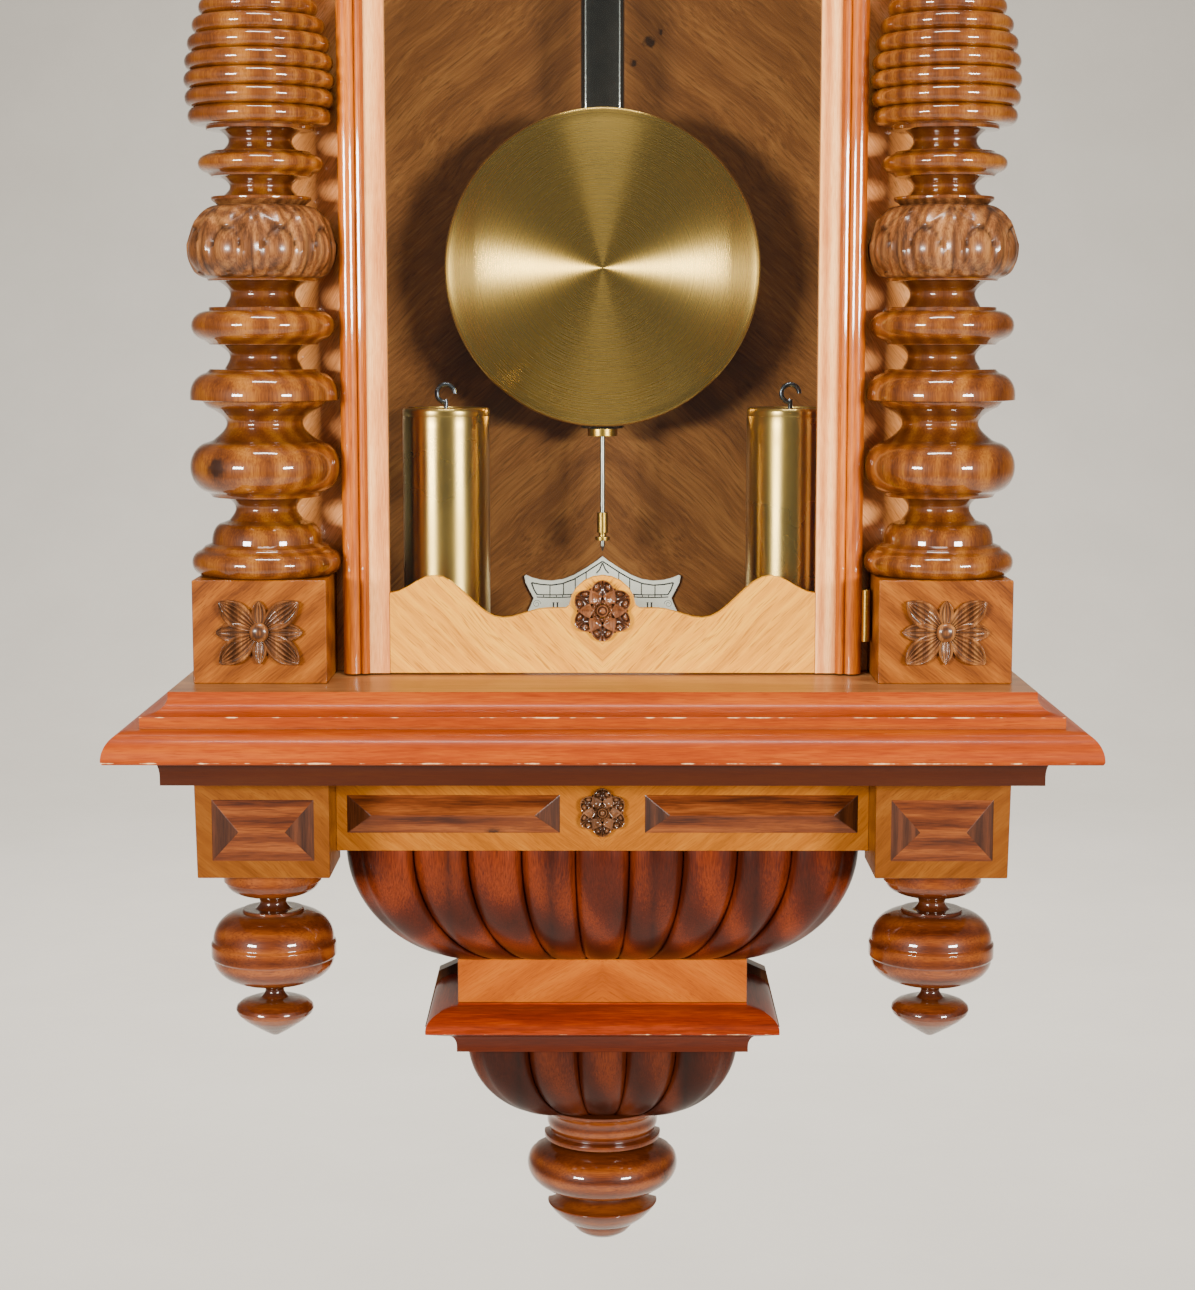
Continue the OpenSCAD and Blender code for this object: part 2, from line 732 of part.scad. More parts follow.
module case_top() {
    from_hanger()
        color("#6a3f22")
            board(-inner_w / 2, inner_w / 2, back_t, case_d - stile_t, open_h - top_t, open_h);
}

stile_x0 = door_hw - 10.7;
latch_z = 430;
latch_len = 17;
latch_r = 1.6;
latch_x = door_hw - bead_w - 1;
module front_stiles() {
    from_hanger()
        color("#b4743a")
            difference() {
                both_sides()
                    board(stile_x0, case_hw, case_d - stile_t, case_d, 0, open_h);
                board(-latch_x - latch_len - 2, -latch_x + 2, case_d - 5, case_d + 1, latch_z - latch_len - 3, latch_z + 5);
            }
}

screw_r = 2.5;
module levelling_screws() {
    x = case_hw + 8;
    z = lower_z0 + 8;
    from_hanger()
        color("#b08d3a")
            both_sides() {
                difference() {
                    union() {
                        board(case_hw, case_hw + 16, 26, 29, z - 10, z + 10);
                        board(case_hw, case_hw + 2, 29, 44, z - 10, z + 10);
                    }
                    along_y(x, z, screw_r + fit, 25, 30);
                }
                along_y(x, z, screw_r, 0.2, 36);
                along_y(x, z, 7, 36, 41);
            }
}

function beat_half() = concat(
    [[0, 50]], ease([0, 50], [14, 42]), ease([14, 42], [26, 35]), ease([26, 35], [43, 38], 4),
    ease([43, 38], [37.6, 27.5], 4), ease([37.6, 27.5], [43.5, 15], 4), [[40, 5]]);
beat_t = 2;
module beat_plate() {
    half = beat_half();
    from_hanger()
        color("#e4dfcd")
            difference() {
                plate_y_z(back_t, back_t + beat_t)
                    polygon(concat(half, [for (i = [len(half) - 1 : -1 : 1]) [-half[i][0], half[i][1]]]));
                both_sides()
                    along_y(33, 12, 1.2, back_t - 1, back_t + beat_t + 1);
            }
}

// Unbroken tubes: rings of points round a path, closed at both ends
tube_sides = 6;
function unit(v) = v / norm(v);
function ring(c, t, up, r) = let (a = unit(cross(t, up)), b = cross(a, unit(t)))
    [for (k = [0 : tube_sides - 1]) c + r * (cos(360 * k / tube_sides) * a + sin(360 * k / tube_sides) * b)];
function tangent(path, i) = path[min(i + 1, len(path) - 1)] - path[max(i - 1, 0)];
module tube(path, r, up) {
    n = len(path);
    points = [for (i = [0 : n - 1]) each ring(path[i], tangent(path, i), up, r)];
    sides = [for (i = [0 : n - 2], k = [0 : tube_sides - 1])
        let (a = i * tube_sides + k, b = i * tube_sides + (k + 1) % tube_sides)
        each [[a, b, a + tube_sides], [b, b + tube_sides, a + tube_sides]]];
    first = [[for (k = [tube_sides - 1 : -1 : 0]) k]];
    last = [[for (k = [0 : tube_sides - 1]) (n - 1) * tube_sides + k]];
    polyhedron(points = points, faces = concat(sides, first, last), convexity = 8);
}
function self_gap(path, r, skip) = min([for (i = [0 : len(path) - 1 - skip])
    min([for (j = [i + skip : len(path) - 1]) norm(path[i] - path[j])])]) - 2 * r;

gong_z = 470;
gong_out = 13;
gong_y = back_t + gong_out;
loop_rings = 24;
function gong_path() = concat(
    [[gong_r, -gong_y, gong_z - gong_d]],
    [for (i = [0 : loop_rings * gong_turns]) let (a = 360 * i / loop_rings, r = gong_r + gong_pitch * i / loop_rings)
        [r * cos(a), -gong_y, gong_z + r * sin(a)]]);
module gong_coil() {
    path = gong_path();
    echo(gong_coil_self_gap = self_gap(path, gong_d / 2, 12));
    from_hanger()
        color("#5c5f66")
            tube(path, gong_d / 2, [0, 1, 0]);
}

module gong_stand() {
    block_top = gong_z - gong_d - fit;
    post_y = gong_y - gong_d / 2 - 1;
    from_hanger()
        color("#3a3a3c")
            difference() {
                union() {
                    board(gong_r - 2.6, gong_r + 2.6, back_t, gong_y + 4, block_top - 5, block_top);
                    along_y(gong_r, block_top - 9, 6, back_t, post_y);
                }
                along_y(gong_r, block_top - 9, 1.6, post_y - 5, post_y + 1);
            }
}

// Sizes of the wheelwork: teeth, modules and the places of the arbors
great_n = 144;
great_m = 0.45;
pinion_n = 12;
centre_n = 100;
train_m = 0.5;
small_n = 10;
third_n = 80;
escape_n = 30;
escape_r = 15;
cannon_n = 12;
minute_n = 36;
hour_n = 40;
hour_m = (cannon_n + minute_n) * train_m / (hour_n + small_n);
barrel_reach = (great_n + pinion_n) * great_m / 2;
arbor_x = 34;
arbor_drop = sqrt(barrel_reach * barrel_reach - arbor_x * arbor_x);
arbor_z = dial_z - arbor_drop;
third_reach = (centre_n + small_n) * train_m / 2;
escape_reach = (third_n + small_n) * train_m / 2;
escape_z = susp_z - 21.5;
train_up = escape_z - dial_z;
third_up = (third_reach * third_reach - escape_reach * escape_reach + train_up * train_up) / (2 * train_up);
third_x = -sqrt(third_reach * third_reach - third_up * third_up);
third_z = dial_z + third_up;
motion_reach = (cannon_n + minute_n) * train_m / 2;
pillar_in = 6;
neck_hw = 38;
pivot_r = 1;
arbor_r = 1.5;
winder_r = 3;

plate_z0 = dial_z - 67;
plate_z1 = susp_z + 17;
shoulder_z = dial_z + 35;
front_plate_y = inner_y1;
arm_x = 38;
arm_t = 6;
hammer_x = -46;
hammer_z = plate_z0 + 12;
fall_x = arbor_x + drum_r + 1.5 * line_d + 2 * gap;
return_x = fall_x + 2 * groove_r;
line_in = 25;
line_y = plate_y + line_in;
weight_y = line_y + 1;
weight_left_x = weight_left_in - inner_w / 2;
weight_right_x = inner_w / 2 - weight_right_in;
cheek_h = 8;
cheek_t = 1.6;
cheek_y = 1.4;
module seat_bracket() {
    from_hanger()
        color("#3d3b38")
            difference() {
                union() {
                    board(-46, 46, back_t, back_t + 5, plate_z0 + 14, susp_z + 26);
                    both_sides() {
                        board(arm_x - arm_t / 2, arm_x + arm_t / 2, back_t, front_plate_y + plate_t, plate_z0 - 6, plate_z0);
                        board(arm_x - arm_t / 2, arm_x + arm_t / 2, back_t, back_t + 5, plate_z0 - 6, plate_z0 + 14);
                    }
                    board(-return_x - 4, return_x + 4, line_y - 6, line_y + 7, plate_z0 - 7, plate_z0 - 1);
                    board(-7, 7, back_t, pend_y + 4, susp_z + cheek_h, susp_z + cheek_h + 7);
                    for (way = [-1, 1])
                        board(-6, 6, pend_y + way * cheek_y - cheek_t / 2, pend_y + way * cheek_y + cheek_t / 2,
                            susp_z + 0.5, susp_z + cheek_h);
                }
                both_sides()
                    translate([fall_x, -line_y, plate_z0 - 8])
                        cylinder(r = line_d / 2 + 1.5, h = 10);
            }
}

// Places of the pillars, as half a width and a height
pillars = [[plate_w / 2 - pillar_in, plate_z0 + pillar_in], [neck_hw - pillar_in, plate_z1 - pillar_in]];
module movement_plate(y, winding_r, centre_r) {
    half = [[plate_w / 2, plate_z0], [plate_w / 2, shoulder_z], [neck_hw, shoulder_z], [neck_hw, plate_z1]];
    difference() {
        plate_y_z(y, y + plate_t)
            polygon(concat(half, flipped(half)));
        for (hole = [[0, dial_z, centre_r], [third_x, third_z, pivot_r], [0, escape_z, pivot_r], [0, susp_z, pivot_r],
                [arbor_x, arbor_z, winding_r], [-arbor_x, arbor_z, winding_r], [hammer_x, hammer_z, arbor_r]])
            along_y(hole[0], hole[1], hole[2] + fit, y - 1, y + plate_t + 1);
    }
}

module movement_frame() {
    from_hanger()
        color("#b8913f") {
            movement_plate(plate_y, pivot_r, pivot_r);
            difference() {
                movement_plate(front_plate_y, winder_r, arbor_r);
                along_y(0, dial_z + motion_reach, pivot_r + fit, front_plate_y - 1, front_plate_y + plate_t + 1);
            }
            both_sides()
                for (p = pillars)
                    translate([p[0], -inner_y0, p[1]])
                        rotate([90, 0, 0])
                            turned(concat(
                                fillet(0, 4, 4), cove(4, 14, 3.4, 2.6, 3), bead(14, plate_gap - 14, 3, 4),
                                cove(plate_gap - 14, plate_gap - 4, 3, 2.6, 3.4), fillet(plate_gap - 4, plate_gap, 4)));
        }
}

// Outline of a wheel: each tooth narrows outward along its flank, with backlash at the pitch circle
function flank(r, base, pitch_r, half) = let (
        tilt = function (q) q <= base ? 0 : let (c = acos(base / q)) tan(c) * 180 / PI - c)
    half + tilt(pitch_r) - tilt(r);
function wheel(n, m, thick = 0.43, add = 0.85, ded = 1.25, phase = 0) = let (
        rp = n * m / 2, base = rp * cos(20), half = thick * 180 / n, root = rp - ded * m, tip = rp + add * m,
        stops = n > 40 ? [root, tip] : [root, max(base, root + 0.02), rp, (rp + tip) / 2, tip])
    [for (i = [0 : n - 1]) let (c = phase + 360 * i / n) each concat(
        [for (r = stops) let (a = c - flank(r, base, rp, half)) r * [cos(a), sin(a)]],
        [for (k = [len(stops) - 1 : -1 : 0]) let (r = stops[k], a = c + flank(r, base, rp, half)) r * [cos(a), sin(a)]])];

// A toothed disc with its spokes, at y0 to y1 forward of the wall; it is cut from flat sheet
module crossed(outline, rim_r, hub_r, y0, y1, hole = 0) {
    plate_y_z(y0, y1)
        difference() {
            polygon(outline);
            if (rim_r > hub_r + 2)
                for (i = [0 : 4])
                    rotate(72 * i)
                        polygon(concat(
                            [for (a = [8 : 8 : 64]) (rim_r - 0.4) * [cos(a), sin(a)]],
                            [for (a = [56 : -8 : 16]) (hub_r + 0.6) * [cos(a), sin(a)]]));
            if (hole > 0)
                polygon([for (a = [0 : 15 : 345]) hole * [cos(a), sin(a)]]);
        }
}

module arbor(x, z, stages) {
    for (s = stages)
        along_y(x, z, s[2], s[0], s[1]);
}

function toward(dx, dz) = atan2(dz, dx);
back_end = plate_y + 0.2;
third_dir = toward(third_x, third_up);
escape_dir = toward(-third_x, train_up - third_up);

module centre_wheel() {
    y = inner_y0 + 2;
    great_y = inner_y1 - 6;
    hand_y = dial_y + 4.6;
    from_hanger()
        color("#c39a45") {
            translate([0, 0, dial_z]) {
                crossed(wheel(centre_n, train_m, phase = third_dir), 21, 4, y, y + 2, arbor_r - 0.1);
                crossed(wheel(pinion_n, great_m, 0.4, phase = toward(arbor_x, -arbor_drop) + 15), 0, 2,
                    great_y, great_y + 5, 1);
                crossed(wheel(cannon_n, train_m, 0.4, phase = 90 + 15), 0, 2, inner_y1 + plate_t + 0.8,
                    inner_y1 + plate_t + 3.2, arbor_r - 0.1);
            }
            arbor(0, dial_z, [[back_end, inner_y0 + 0.5, pivot_r], [inner_y0 + 0.5, great_y, arbor_r],
                [great_y, great_y + 5, 1.02], [great_y + 5, hand_y, arbor_r]]);
            minute_hand(hand_y);
        }
}

// The hands stand at ten past ten
minute_tilt = 60;
hour_tilt = -55;
hand_t = 1.2;
function hand_outline(len, w) = concat(
    [[-w * 0.5, 0], [-w * 0.4, len * 0.3]],
    [for (i = [0 : 6]) [-w * (0.35 + 0.75 * sin(180 * i / 6)), len * (0.34 + 0.3 * i / 6)]],
    [[-w * 0.25, len * 0.75], [0, len], [w * 0.25, len * 0.75]],
    [for (i = [6 : -1 : 0]) [w * (0.35 + 0.75 * sin(180 * i / 6)), len * (0.34 + 0.3 * i / 6)]],
    [[w * 0.4, len * 0.3], [w * 0.5, 0]]);

module hand(len, w, tilt, y, boss, hole) {
    translate([0, 0, dial_z])
        rotate([0, tilt, 0])
            difference() {
                union() {
                    plate_y_z(y, y + hand_t)
                        polygon(hand_outline(len, w));
                    along_y(0, 0, boss, y, y + hand_t);
                }
                along_y(0, 0, hole, y - 1, y + hand_t + 1);
            }
}

module minute_hand(y) {
    hand(dial_r * 0.82, 5, minute_tilt, y, 5, arbor_r - 0.3);
    along_y(0, dial_z, 3, y + hand_t, y + hand_t + 1.6);
    along_y(0, dial_z, arbor_r - 0.3, y, y + hand_t);
}

hour_y = inner_y1 + plate_t + 4.4;
pipe_r = 2.8;
module hour_hand() {
    hand_y = dial_y + 2.6;
    from_hanger()
        color("#20242c") {
            hand(dial_r * 0.56, 6, hour_tilt, hand_y, 6, pipe_r - 0.2);
            difference() {
                union() {
                    translate([0, 0, dial_z])
                        crossed(wheel(hour_n, hour_m, phase = 90), 0, 3, hour_y, hour_y + 1.4, 0);
                    along_y(0, dial_z, pipe_r, hour_y + 1.4, hand_y + hand_t);
                }
                along_y(0, dial_z, arbor_r + 0.15, hour_y - 1, hand_y + hand_t + 1);
            }
        }
}

module minute_wheel() {
    y = inner_y1 + plate_t + 1;
    from_hanger()
        color("#c39a45") {
            translate([0, 0, dial_z + motion_reach]) {
                crossed(wheel(minute_n, train_m, phase = -90), 6, 2.6, y, y + 1.6, pivot_r - 0.1);
                crossed(wheel(small_n, hour_m, 0.4, phase = -90 + 18), 0, 2, y + 2.4, y + 5.2, pivot_r - 0.1);
            }
            arbor(0, dial_z + motion_reach, [[inner_y1 + 0.2, y + 5.6, pivot_r]]);
        }
}

module third_wheel() {
    y = inner_y0 + 1;
    from_hanger()
        color("#c39a45") {
            translate([third_x, 0, third_z]) {
                crossed(wheel(small_n, train_m, 0.4, phase = third_dir + 180 + 18), 0, 2, y, y + 5, pivot_r - 0.1);
                crossed(wheel(third_n, train_m, phase = escape_dir), 16.5, 4, y + 11, y + 13, pivot_r - 0.1);
            }
            arbor(third_x, third_z, [[back_end, inner_y1 + plate_t - 0.2, pivot_r]]);
        }
}

function escape_outline() = [for (i = [0 : escape_n - 1]) let (a = 360 * i / escape_n)
    each [escape_r * [cos(a), sin(a)], (escape_r - 2.6) * [cos(a + 2), sin(a + 2)], (escape_r - 2.6) * [cos(a + 9.5), sin(a + 9.5)]]];
module escape_wheel() {
    y = inner_y0 + 7.4;
    from_hanger()
        color("#c39a45") {
            translate([0, 0, escape_z]) {
                crossed(escape_outline(), 10.5, 3, y, y + 1.4, pivot_r - 0.1);
                crossed(wheel(small_n, train_m, 0.4, phase = escape_dir + 180 + 18), 0, 2, y + 3.4, y + 8, pivot_r - 0.1);
            }
            arbor(0, escape_z, [[back_end, inner_y1 + plate_t - 0.2, pivot_r]]);
        }
}

crutch_drop = 75;
module anchor() {
    y = inner_y0 + 6.6;
    rise = susp_z - escape_z;
    tip_r = escape_r + 1.4;
    tip = [tip_r * sin(52), tip_r * cos(52) - rise];
    from_hanger()
        color("#7d7f84")
            translate([0, 0, susp_z]) {
                plate_y_z(y, y + 3)
                    polygon([
                        [0, 3.4], [tip[0] + 3, tip[1] + 6], [tip[0] + 3.4, tip[1] + 1], tip, [tip[0] + 0.4, tip[1] + 3.6],
                        [0, -2.6], [-tip[0] - 0.4, tip[1] + 3.6], [-tip[0], tip[1]], [-tip[0] - 3.4, tip[1] + 1],
                        [-tip[0] - 3, tip[1] + 6]
                    ]);
                along_y(0, 0, pivot_r, plate_y - 6, inner_y1 + plate_t - 0.2);
                board(-2, 2, plate_y - 6, plate_y - 4, -crutch_drop - 2, 2);
                along_y(0, -crutch_drop, 1.5, pend_y - 2, plate_y - 4);
            }
}

// A barrel: drum with flanges, great wheel, squared winding arbor and the line wound on the drum
wound_loops = 8;
wound_pitch = line_d + 0.5;
drum_y0 = inner_y0 + 5;
function wound_path(x, y0) = [for (i = [0 : loop_rings * wound_loops]) let (a = 360 * i / loop_rings)
    [x + (drum_r + gap + line_d / 2) * cos(a), -y0 - wound_pitch * i / loop_rings,
        arbor_z + (drum_r + gap + line_d / 2) * sin(a)]];
module barrel(side, wheel_y) {
    x = side * arbor_x;
    drum_y1 = wheel_y - 0.2;
    path = wound_path(x, drum_y0 + 2.8);
    echo(wound_line_self_gap = self_gap(path, line_d / 2, 12));
    difference() {
        union() {
            along_y(x, arbor_z, drum_r, drum_y0, drum_y1);
            along_y(x, arbor_z, drum_r + 3, drum_y0, drum_y0 + 1.2);
            translate([x, 0, arbor_z])
                crossed(wheel(great_n, great_m, phase = toward(-side * arbor_x, arbor_drop)), 0, 2,
                    wheel_y, wheel_y + 1.8, 0);
            along_y(x, arbor_z, drum_r, drum_y1 - 0.5, wheel_y + 0.5);
        }
        along_y(x, arbor_z, winder_r - 0.01, inner_y0 - 1, inner_y1 + 1);
    }
    arbor(x, arbor_z, [[back_end, inner_y0 + 0.4, pivot_r], [inner_y0 + 0.4, dial_y - 2.5, winder_r - 0.01]]);
    translate([x, 0, arbor_z])
        board(-1.9, 1.9, dial_y - 2.5, dial_y + 1.6, -1.9, 1.9);
    tube(path, line_d / 2, [0, 1, 0]);
}

module going_barrel() {
    from_hanger()
        color("#c39a45")
            barrel(1, inner_y1 - 4.8);
}

module strike_barrel() {
    from_hanger()
        color("#c39a45")
            barrel(-1, inner_y1 - 8.8);
}

dial_t = 1.6;
foot_r = 1.6;
module dial() {
    from_hanger()
        color("#ece7d8")
            difference() {
                union() {
                    along_y(0, dial_z, dial_r, dial_y - dial_t, dial_y);
                    both_sides()
                        for (foot_place = [[50, -54], [30, 70]])
                            along_y(foot_place[0], dial_z + foot_place[1], foot_r, inner_y1 + plate_t, dial_y - dial_t);
                }
                along_y(0, dial_z, pipe_r + 1.2, dial_y - dial_t - 1, dial_y + 1);
                both_sides()
                    along_y(arbor_x, arbor_z, winder_r + 1, dial_y - dial_t - 1, dial_y + 1);
            }
}

bezel_w = 7;
module dial_bezel() {
    from_hanger()
        color("#c8a24a")
            translate([0, -dial_y + dial_t, dial_z])
                rotate([90, 0, 0])
                    rotate_extrude($fn = 128)
                        polygon(concat(
                            [[dial_r + gap, 0], [dial_r + bezel_w, 0]],
                            [for (i = [0 : 6]) [dial_r - 1 + (bezel_w + 1) * (1 - i / 6), dial_t + 0.6 + 2.4 * sin(180 * i / 6)]],
                            [[dial_r - 1, dial_t + 0.1], [dial_r + gap, dial_t + 0.1]]));
}

pulley_z = plate_z0 - line_drop;
pulley_x = (fall_x + return_x) / 2;
function gut_path() = concat(
    [[fall_x, -line_y, arbor_z], [fall_x, -line_y, (arbor_z + plate_z0) / 2], [fall_x, -line_y, plate_z0 - 20]],
    [for (i = [0 : 12]) let (a = 180 + 180 * i / 12)
        [pulley_x + groove_r * cos(a), -line_y, pulley_z + groove_r * sin(a)]],
    [[return_x, -line_y, plate_z0 - 20], [return_x, -line_y, plate_z0 - 7 - fit]]);
module gut_lines() {
    from_hanger()
        color("#8d7a58")
            both_sides()
                tube(gut_path(), line_d / 2, [0, 1, 0]);
}

sheave_r = groove_r + 2.5;
module pulley_frames() {
    from_hanger()
        color("#b8913f")
            both_sides()
                translate([pulley_x, 0, pulley_z]) {
                    for (y = [line_y - 4.6, line_y + 3.4])
                        board(-3, 3, y, y + 1.2, -sheave_r - 5, 4);
                    board(-3, 3, line_y - 4.6, line_y + 4.6, -sheave_r - 7, -sheave_r - 5);
                    along_y(0, 0, 1.2, line_y - 5.4, line_y + 5.4);
                    hook(-sheave_r - 7, -1);
                }
}

module sheave(side) {
    r = groove_r - line_d / 2 - gap;
    translate([side * pulley_x, -line_y, pulley_z])
        rotate([90, 0, 0])
            rotate_extrude()
                polygon([[1.25, -2.8], [sheave_r, -2.8], [sheave_r, -2], [r, -0.8], [r, 0.8], [sheave_r, 2], [sheave_r, 2.8],
                    [1.25, 2.8]]);
}

module sheave_left() {
    from_hanger()
        color("#c39a45")
            sheave(-1);
}

module sheave_right() {
    from_hanger()
        color("#c39a45")
            sheave(1);
}

// A wire hook below (-1) or above (1) a height, open at its right side
hook_r = 4.6;
hook_wire = 1.2;
module hook(z, way) {
    reach = way > 0 ? 5 : 3.9;
    open_x = way > 0 ? 0 : hook_wire * 1.5;
    translate([0, -line_y, z + way * (hook_r + 3.5)])
        rotate([90, 0, 0])
            difference() {
                rotate_extrude()
                    translate([hook_r, 0])
                        circle(r = hook_wire, $fn = 24);
                translate([open_x, way > 0 ? -hook_r * 2 : 0, -hook_wire * 2])
                    cube([hook_r * 2, hook_r * 2, hook_wire * 4]);
            }
    translate([0, -line_y, way > 0 ? z - 0.5 : z - reach])
        cylinder(r = hook_wire, h = reach + 0.5);
}

hinge_x = door_hw + 1.6;
hinge_y = door_y1 + 5.4;
hinge_zs = [26, 398, open_h - 36];
module case_hinges() {
    from_hanger()
        color("#b08d3a")
            for (z = hinge_zs) {
                translate([hinge_x, -hinge_y, z]) {
                    cylinder(r = knuckle_r * 0.5, h = 18);
                    translate([0, 0, -8])
                        cylinder(r = knuckle_r, h = 8);
                }
                board(hinge_x - 0.5, hinge_x + 0.5, case_d, hinge_y - knuckle_r + 0.6, z - 8, z - 0.2);
            }
}

module door_hinges() {
    from_hanger()
        color("#b08d3a")
            for (z = hinge_zs)
                difference() {
                    union() {
                        translate([hinge_x, -hinge_y, z + fit])
                            cylinder(r = knuckle_r, h = 18);
                        board(door_hw, hinge_x + 0.4, door_y1 - 4, hinge_y, z + fit, z + 18);
                    }
                    translate([hinge_x, -hinge_y, z - 1])
                        cylinder(r = knuckle_r * 0.5 + fit, h = 20);
                }
}

door_z0 = 1;
door_z1 = open_h - 1;
lip = 4.2;
module door_stiles() {
    x1 = door_hw;
    xb = x1 - bead_w;
    x0 = light_hw;
    yb = door_y1 - rail_t;
    from_hanger()
        color("#94501f")
            difference() {
                both_sides()
                    translate([0, 0, door_z0])
                        linear_extrude(door_z1 - door_z0)
                            polygon(concat(
                                [[x0, -door_y1 + 1], [x0, -yb], [x0 + 5, -yb], [x0 + 5, -door_y0]],
                                [[x1, -door_y0], [x1, -door_y1]],
                                [for (i = [1 : 6]) [x1 - 4.5 + 4 * cos(180 * i / 6), -door_y1 - lip * 0.8 * sin(180 * i / 6)]],
                                [for (i = [1 : 5]) [xb + 2.5 + 2 * cos(180 * i / 6), -door_y1 - lip * 0.5 * sin(180 * i / 6)]],
                                [[xb, -door_y1], [xb, -door_y1 + 1]]));
                along_y(-latch_x, latch_z, latch_r + fit, door_y0 - 1, door_y1 + lip + 1);
            }
}

lobe_r = 17;
notch_h = 33;
function panel_half() = concat(
    [for (i = [0 : 5]) [lobe_r * sin(84 * i / 5), crest_h - lobe_r * (1 - cos(84 * i / 5))]],
    [[lobe_r + 1.6, notch_h], [lobe_r + 10.5, notch_h]],
    ease([lobe_r + 10.5, notch_h], [light_hw * 0.47, dip_h], 5),
    ease([light_hw * 0.47, dip_h], [light_hw * 0.79, crest_h], 8),
    ease([light_hw * 0.79, crest_h], [light_hw - gap / 3, crest_h * 0.82], 5));
module shaped_rail() {
    half = panel_half();
    edge = light_hw - gap / 3;
    plate_y_z(door_y1 - rail_t, door_y1 - 1)
        polygon(concat([[-edge, 0]], flipped(half), [for (i = [1 : len(half) - 1]) half[i]], [[edge, 0]]));
}

module door_bottom_panel() {
    from_hanger()
        color("#c98f52")
            translate([0, 0, door_z0])
                shaped_rail();
}

module door_top_rail() {
    from_hanger()
        color("#c98f52")
            translate([0, 0, door_z1])
                mirror([0, 0, 1])
                    shaped_rail();
}

module door_glass() {
    y = door_y1 - rail_t;
    from_hanger()
        color([0.8, 0.85, 0.85, 0.35])
            board(-light_hw - 4.5, light_hw + 4.5, y - glass_t, y - 0.05, door_z0 + 2, door_z1 - 2);
}

module door_rosettes() {
    from_hanger()
        color("#7e6046")
            for (z = [door_z0 + notch_h - 1, door_z1 - notch_h + 1])
                on_front(0, door_y1 - 1, z)
                    rosette(rosette_d, flower_rise);
}

module latch() {
    from_hanger()
        color("#b08d3a")
            translate([-latch_x, 0, latch_z]) {
                along_y(0, 0, latch_r, case_d - 1, door_y1 + lip + 1);
                along_y(0, 0, 6, door_y1 + lip + gap, door_y1 + lip + 5);
                board(-2.5, 2.5, case_d - 3.5, case_d - 1, -latch_len, 3);
            }
}

module pendulum_rod() {
    zt = susp_z - 30;
    zb = bob_z - bob_r - 1;
    from_hanger()
        color("#1d1a18")
            difference() {
                union() {
                    board(-rod_w / 2, rod_w / 2, pend_y - rod_t / 2, pend_y + rod_t / 2, zb, zt);
                    board(-8, 8, pend_y - rod_t / 2, pend_y + rod_t / 2, zt, zt + 8);
                }
                along_y(0, susp_z - crutch_drop, 1.8, pend_y - 10, pend_y + 10);
            }
}

module pendulum_bob() {
    face = [for (i = [0 : 8]) let (t = i / 8) [bob_r * t, bob_rim / 2 + (bob_t - bob_rim) / 2 * (1 - t * t)]];
    from_hanger()
        color("#b98f3c")
            difference() {
                translate([0, -pend_y, bob_z])
                    rotate([90, 0, 0])
                        rotate_extrude($fn = 128)
                            polygon(concat(face, [for (i = [8 : -1 : 0]) [face[i][0], -face[i][1]]]));
                board(-rod_w / 2 - fit, rod_w / 2 + fit, pend_y - rod_t / 2 - fit, pend_y + rod_t / 2 + fit,
                    bob_z - bob_r - 10, bob_z + bob_r + 10);
            }
}

nut_z = bob_z - bob_r - 1;
module rating_nut() {
    from_hanger()
        color("#b98f3c")
            translate([0, -pend_y, nut_z - 66])
                turned(concat(
                    [[0.2, 0]], fillet(3, 6, 1.2), fillet(6, 8, 4), fillet(8, 10, 2), fillet(10, 21, 3),
                    fillet(21, 62, 1.25), fillet(62, 65.95, 8)));
}

strip_t = 0.3;
module suspension_spring() {
    zt = susp_z - 22;
    from_hanger()
        color("#6e7278") {
            board(-5, 5, pend_y - strip_t / 2, pend_y + strip_t / 2, zt + 4, susp_z + cheek_h - 2);
            board(-6, 6, pend_y - 2, pend_y + 2, zt, zt + 5);
        }
}

module weight(x) {
    lid_z = weight_h - 1;
    body = [
        [weight_r - 2, 0.4], [weight_r, 2.4], [weight_r, weight_h - 1.6], [weight_r - 1.6, weight_h],
        [weight_r - 3, weight_h], [weight_r - 3, lid_z]
    ];
    translate([x, -weight_y, 0])
        turned(body);
    translate([x, line_y - weight_y, 0])
        hook(lid_z, 1);
}

module weight_left() {
    from_hanger()
        color("#b98f3c")
            weight(weight_left_x);
}

module weight_right() {
    from_hanger()
        color("#b98f3c")
            weight(weight_right_x);
}

head_x = -gong_r - gong_pitch * (gong_turns + 0.5) - 8;
head_z = gong_z + 8;
head_r = 5;
module strike_hammer() {
    arm = [head_x - hammer_x, head_z - hammer_z];
    from_hanger()
        color("#7d7f84") {
            along_y(hammer_x, hammer_z, arbor_r, gong_y - 2, inner_y1 + plate_t - 0.2);
            translate([hammer_x, 0, hammer_z])
                rotate([0, atan2(-arm[0], -arm[1]), 0])
                    board(-1.5, 1.5, gong_y - 1.5, gong_y + 1.5, -norm(arm), 0);
            translate([head_x - 9, -gong_y, head_z])
                rotate([0, 90, 0])
                    cylinder(r = head_r, h = 14);
        }
}

